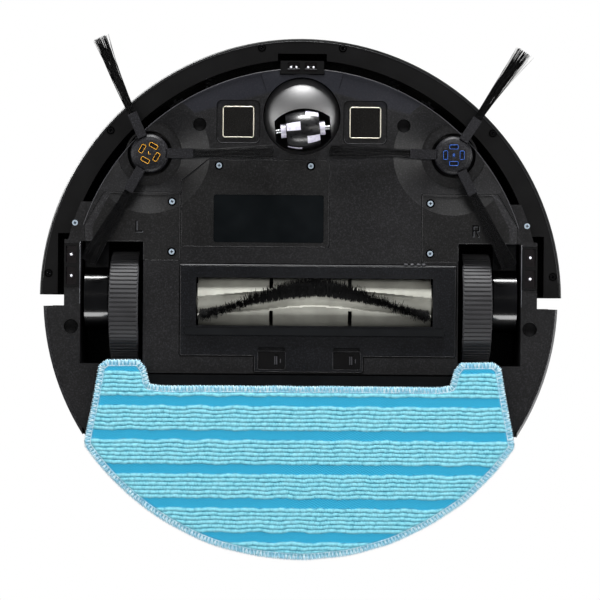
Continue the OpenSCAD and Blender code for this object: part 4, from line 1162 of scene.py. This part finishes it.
def make_knuckles():
    """Hinge bumps along the front edge of the brush guard."""
    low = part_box("brush_cover")[0] / MM
    y, z = low.y - KNUCKLE_FRONT, low.z + KNUCKLE_RISE

    def build(work):
        for x in KNUCKLES:
            path = [Vector((x + dx, y, z)) * MM for dx in (-1.15, -0.9, 0.9, 1.15)]
            tube(work, path, 0.55 * MM, sides=8, cap=True)

    build_piece("guard_knuckles", build, EDGE_SHINE, "chassis", slot="black_textured")


make_screw_marks()
make_lenses()
make_knuckles()
make_well_edges()


PAD_LIP_Z = UNDERSIDE_Z + 0.75 * MM


def make_pad_frames():
    """Painted shade in the groove and a painted highlight on the lower lip of the recess round each charging pad.
    """
    edge = sorted((point for point in round_box(13.2, 13.2, 3.1, 8) if point[1] > 9.6),
                  key=lambda point: point[0])
    for side, sign in SIDES.items():
        ring = on_plane(round_box(13.7, 13.7, 3.4), pad_middle(sign), GROOVE_Z)
        lip = on_plane(edge, pad_middle(sign), PAD_LIP_Z)
        build_piece("pad_groove_" + side, lambda work: loop_bead(work, ring, 0.22 * MM, flat=0.4), PAINTED_SHADE,
                    "chassis", slot="black_satin")
        build_piece("pad_lip_" + side, lambda work: tube(work, lip, 0.12 * MM, cap=True), EDGE_SHINE,
                    "chassis", slot="black_satin")


make_pad_frames()


# ---------- painted shade in blind holes and seams, painted light on the covers' chamfers ---

HOLES = ((64.5, -109.2, 4.3), (145.0, 19.0, 4.6))   # on the right side, with their radii
HOLE_Z = (9.05, 10.95)
# painted light: lighter grey for the lit chamfer of each wheel cover
CHAMFER_LIGHT = grained_plastic("chamfer", rgb(26, 26, 28), 0.40, grain=1300.0)


def make_hole_linings():
    """Painted shade: a dark lining in the round blind holes in the underside."""
    def build(work):
        for (x, y, radius), sign in itertools.product(HOLES, SIDES.values()):
            rows = [circle((sign * x * MM, y * MM), r, z * MM, 40)
                    for r, z in ((radius - 0.06, HOLE_Z[0]), (radius - 0.06, HOLE_Z[1]), (0.1, HOLE_Z[1]))]
            loft(work, rows, caps=False)

    build_piece("hole_linings", build, PAINTED_SHADE, "chassis", slot="black_satin")


def make_seams():
    """Painted shade: a dark bead in the seam round each cover plate."""
    for node in ("wheel_cover_left", "wheel_cover_right", "battery_cover"):
        outline_bead("seam_" + node, node, "chassis", 0.24, 0.15, SEAM_Z, 0.25, PAINTED_SHADE, "black_satin")


COVER_CORNER = (12, 20)       # how much the cover's outer front corner is cut, across and along
CHAMFER_WIDE = (3.6, 4.4)     # at the front and along the side
CHAMFER_BACK = -35.4


def make_chamfers():
    """Painted light: a lighter flat strip along the outer front corner of each wheel cover, for light on its
    chamfer.
    """
    for side, sign in SIDES.items():
        low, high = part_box("wheel_cover_" + side)
        outer, front = max(-low.x, high.x) / MM - 0.4, low.y / MM + 0.4
        inner, cut = outer - CHAMFER_WIDE[1], outer - COVER_CORNER[0]
        outline = [((cut, front), (cut - CHAMFER_WIDE[0], front)),
                   ((outer, front + COVER_CORNER[1]), (inner, front + COVER_CORNER[1] + 1)),
                   ((outer, CHAMFER_BACK), (inner, CHAMFER_BACK))]

        def build(work):
            rows = [[work.verts.new(Vector((sign * x, y, low.z / MM - 0.03)) * MM) for x, y in pair]
                    for pair in outline]
            for first, second in zip(rows, rows[1:]):
                work.faces.new((first[0], first[1], second[1], second[0]))

        build_piece("chamfer_" + side, build, CHAMFER_LIGHT, "chassis", smooth=False, slot="black_textured")


make_hole_linings()
make_seams()
make_chamfers()


# ---------- bumper screws, guard gap and latches ----------

GLINT = smooth_plastic("glint", rgb(170, 172, 178), 0.25)


def make_bumper_screw_marks():
    """Painted shade in a well round each black screw of the bumper, and painted glints on the rim of its recess.
    """
    spots = [(spot, half) for spot, half in node_parts("bumper_screws") if half > 1.0 * MM]
    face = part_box("bumper_shell")[0].z

    def wells(work):
        for spot, half in spots:
            disc_ring(work, spot, half / MM, BUMPER_WELL_R, face - 0.03 * MM)

    def rims(work):
        for spot, _ in spots:
            bars(work, [(-0.5, -0.2, 0.12, 0.32, 20), (0.55, 0.25, 0.10, 0.26, 20)], spot,
                 spot.z - 0.02 * MM, 0.05 * MM)

    build_piece("bumper_screw_wells", wells, PAINTED_SHADE, "bumper", smooth=False, slot="black_screw")
    build_piece("bumper_screw_glints", rims, GLINT, "bumper", smooth=False, slot="black_screw")


def make_latch_rims():
    """Painted highlight on the rim round the pocket of each guard latch, and the grip bars on the latch."""
    for side in SIDES:
        low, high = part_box("cover_latch_" + side)
        middle, z = (low + high) / 2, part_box("brush_cover")[0].z

        def rims(work):
            half_w, half_l = (high.x - low.x) / 2 / MM + 0.55, (high.y - low.y) / 2 / MM + 0.5
            loop_bead(work, on_plane(round_box(half_w, half_l, 0.9), middle, z), 0.13 * MM, flat=0.6)

        def grips(work):
            bars(work, [(2.1, 0, 0.28, 2.6, 0), (3.3, 0, 0.28, 2.6, 0), (5.6, 0.3, 0.22, 1.2, 0)],
                 middle, low.z + 0.01 * MM, 0.16 * MM)

        build_piece("latch_rim_" + side, rims, EDGE_FAINT_GLINT, "guard", slot="black_textured")
        build_piece("latch_grip_" + side, grips, EDGE_SHINE, "latch_" + side, smooth=False,
                    slot="black_textured")


make_bumper_screw_marks()
# painted shade: a dark bead in the gap round the brush guard
outline_bead("guard_gap", "brush_cover", "chassis", 0.4, 0.45, SEAM_Z, 0.25, PAINTED_SHADE, "black_satin")
make_latch_rims()


# ---------- top side ----------

RING_TONE = metal("ring_tone", rgb(150, 152, 158), 0.3, brushed=False)
ICON_TONE = smooth_plastic("icon_tone", rgb(176, 178, 184), 0.35)
START_TOP_R, START_MARK_R = 10.0, 3.2   # start button's face and the mark on it, in mm
TRIM_SINK = 0.1 * MM


def make_top_trim():
    """Bright ring and start mark on the start button, and a fine trim line round the glossy panel."""
    low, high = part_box("start_button")
    middle = (low + high) / 2

    def ring_line(work):
        loop_bead(work, circle(middle, START_TOP_R - 0.7, high.z, 72), 0.35 * MM)

    def mark(work):
        arc = [(START_MARK_R * math.sin(turn), START_MARK_R * math.cos(turn))
               for turn in (math.radians(a) for a in range(40, 321, 14))]
        for shape in (arc, [(0, 1.2), (0, 3.9)]):
            tube(work, on_plane(shape, middle, high.z), 0.32 * MM, sides=6, cap=True)

    build_piece("start_ring", ring_line, RING_TONE, "start_key", slot="contact_steel")
    build_piece("start_mark", mark, ICON_TONE, "start_key", slot="white_plastic")
    low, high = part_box("top_panel")
    middle, radius = (low + high) / 2, (high.x - low.x) / 2 / MM

    def trim(work):
        loop_bead(work, circle(middle, radius + 0.05, high.z - TRIM_SINK, 180), 0.3 * MM)

    build_piece("panel_trim", trim, EDGE_SHINE, "chassis", slot="black_gloss")


make_top_trim()


# ---------- stage ----------

FLOOR_SIZE = 8.0
FLOOR_DEPTH = 0.0006
WORLD_LIGHT = 0.06
WARM = (1.0, 0.97, 0.93)


def make_floor():
    """Pale floor that hides nothing from a camera below it and throws no shadow on the underside."""
    n = Nodes("floor")
    tone = n.ramp(n.noise(3.0, 2.0), rgb(232, 232, 232), rgb(238, 238, 238), 0.3, 0.7)
    n.finish(Base_Color=tone, Roughness=0.6)
    output = n.tree.nodes["Material Output"]
    clear = n.add("ShaderNodeBsdfTransparent")
    below = n.add("ShaderNodeNewGeometry").outputs["Backfacing"]
    mixed = n.add("ShaderNodeMixShader")
    n.plug(mixed, "0", below)
    n.plug(mixed, "1", n.shader.outputs[0])
    n.plug(mixed, "2", clear.outputs[0])
    n.plug(output, "Surface", mixed.outputs[0])

    half = FLOOR_SIZE / 2
    mesh = bpy.data.meshes.new("floor")
    corners = [(-half, -half, 0), (half, -half, 0), (half, half, 0), (-half, half, 0)]
    mesh.from_pydata(corners, [], [(0, 1, 2, 3)])
    floor = bpy.data.objects.new("floor", mesh)
    bpy.context.scene.collection.objects.link(floor)
    floor.location.z = -FLOOR_DEPTH
    floor.data.materials.append(n.material)
    for ray in ("shadow", "diffuse", "glossy", "transmission"):
        setattr(floor, "visible_" + ray, False)


def area_light(name, place, target, size, power, tint=(1.0, 1.0, 1.0)):
    """Soft light at a place, facing a target, that the camera doesn't see."""
    data = bpy.data.lights.new(name, "AREA")
    data.shape, data.energy, data.color = "RECTANGLE", power, tint
    data.size, data.size_y = size
    lamp = bpy.data.objects.new(name, data)
    bpy.context.scene.collection.objects.link(lamp)
    lamp.location = place
    lamp.rotation_euler = (Vector(target) - Vector(place)).to_track_quat("-Z", "Y").to_euler()
    lamp.visible_camera = False


def make_world():
    """White behind the object, softer light on it."""
    world = bpy.data.worlds.new("studio")
    world.use_nodes = True
    tree = world.node_tree
    tree.nodes.clear()
    output = tree.nodes.new("ShaderNodeOutputWorld")
    seen, cast = (tree.nodes.new("ShaderNodeBackground") for _ in range(2))
    seen.inputs["Color"].default_value = (1.0, 1.0, 1.0, 1.0)
    cast.inputs["Color"].default_value = (0.93, 0.96, 1.0, 1.0)
    cast.inputs["Strength"].default_value = WORLD_LIGHT
    path, mixed = tree.nodes.new("ShaderNodeLightPath"), tree.nodes.new("ShaderNodeMixShader")
    tree.links.new(path.outputs["Is Camera Ray"], mixed.inputs[0])
    tree.links.new(cast.outputs[0], mixed.inputs[1])
    tree.links.new(seen.outputs[0], mixed.inputs[2])
    tree.links.new(mixed.outputs[0], output.inputs["Surface"])
    bpy.context.scene.world = world


make_floor()
make_world()
area_light("front_soft", (0.02, -1.42, -0.34), (0.0, -0.10, 0.0), (0.6, 0.5), 40.0)
for side, sign in SIDES.items():
    area_light(side + "_strip", (sign * 1.35, -0.10, -0.50), (0.0, 0.0, 0.0), (0.3, 1.4), 11.0 + sign)
for side, sign in SIDES.items():
    area_light(side + "_card", (sign * 0.80, -0.30, -1.40), (sign * 0.05, -0.05, 0.0), (0.25, 0.9), 3.0, WARM)
area_light("rear_soft", (0.1, 1.30, -0.60), (0.0, 0.08, 0.0), (1.2, 0.4), 12.0)
area_light("top_key", (-0.9, -0.9, 1.5), (0.0, 0.0, 0.04), (1.0, 1.0), 26.0)
area_light("top_fill", (1.2, 0.6, 1.2), (0.0, 0.0, 0.04), (1.2, 1.2), 12.0)
bpy.context.scene.view_settings.view_transform = "Standard"
bpy.context.scene.view_settings.look = "None"
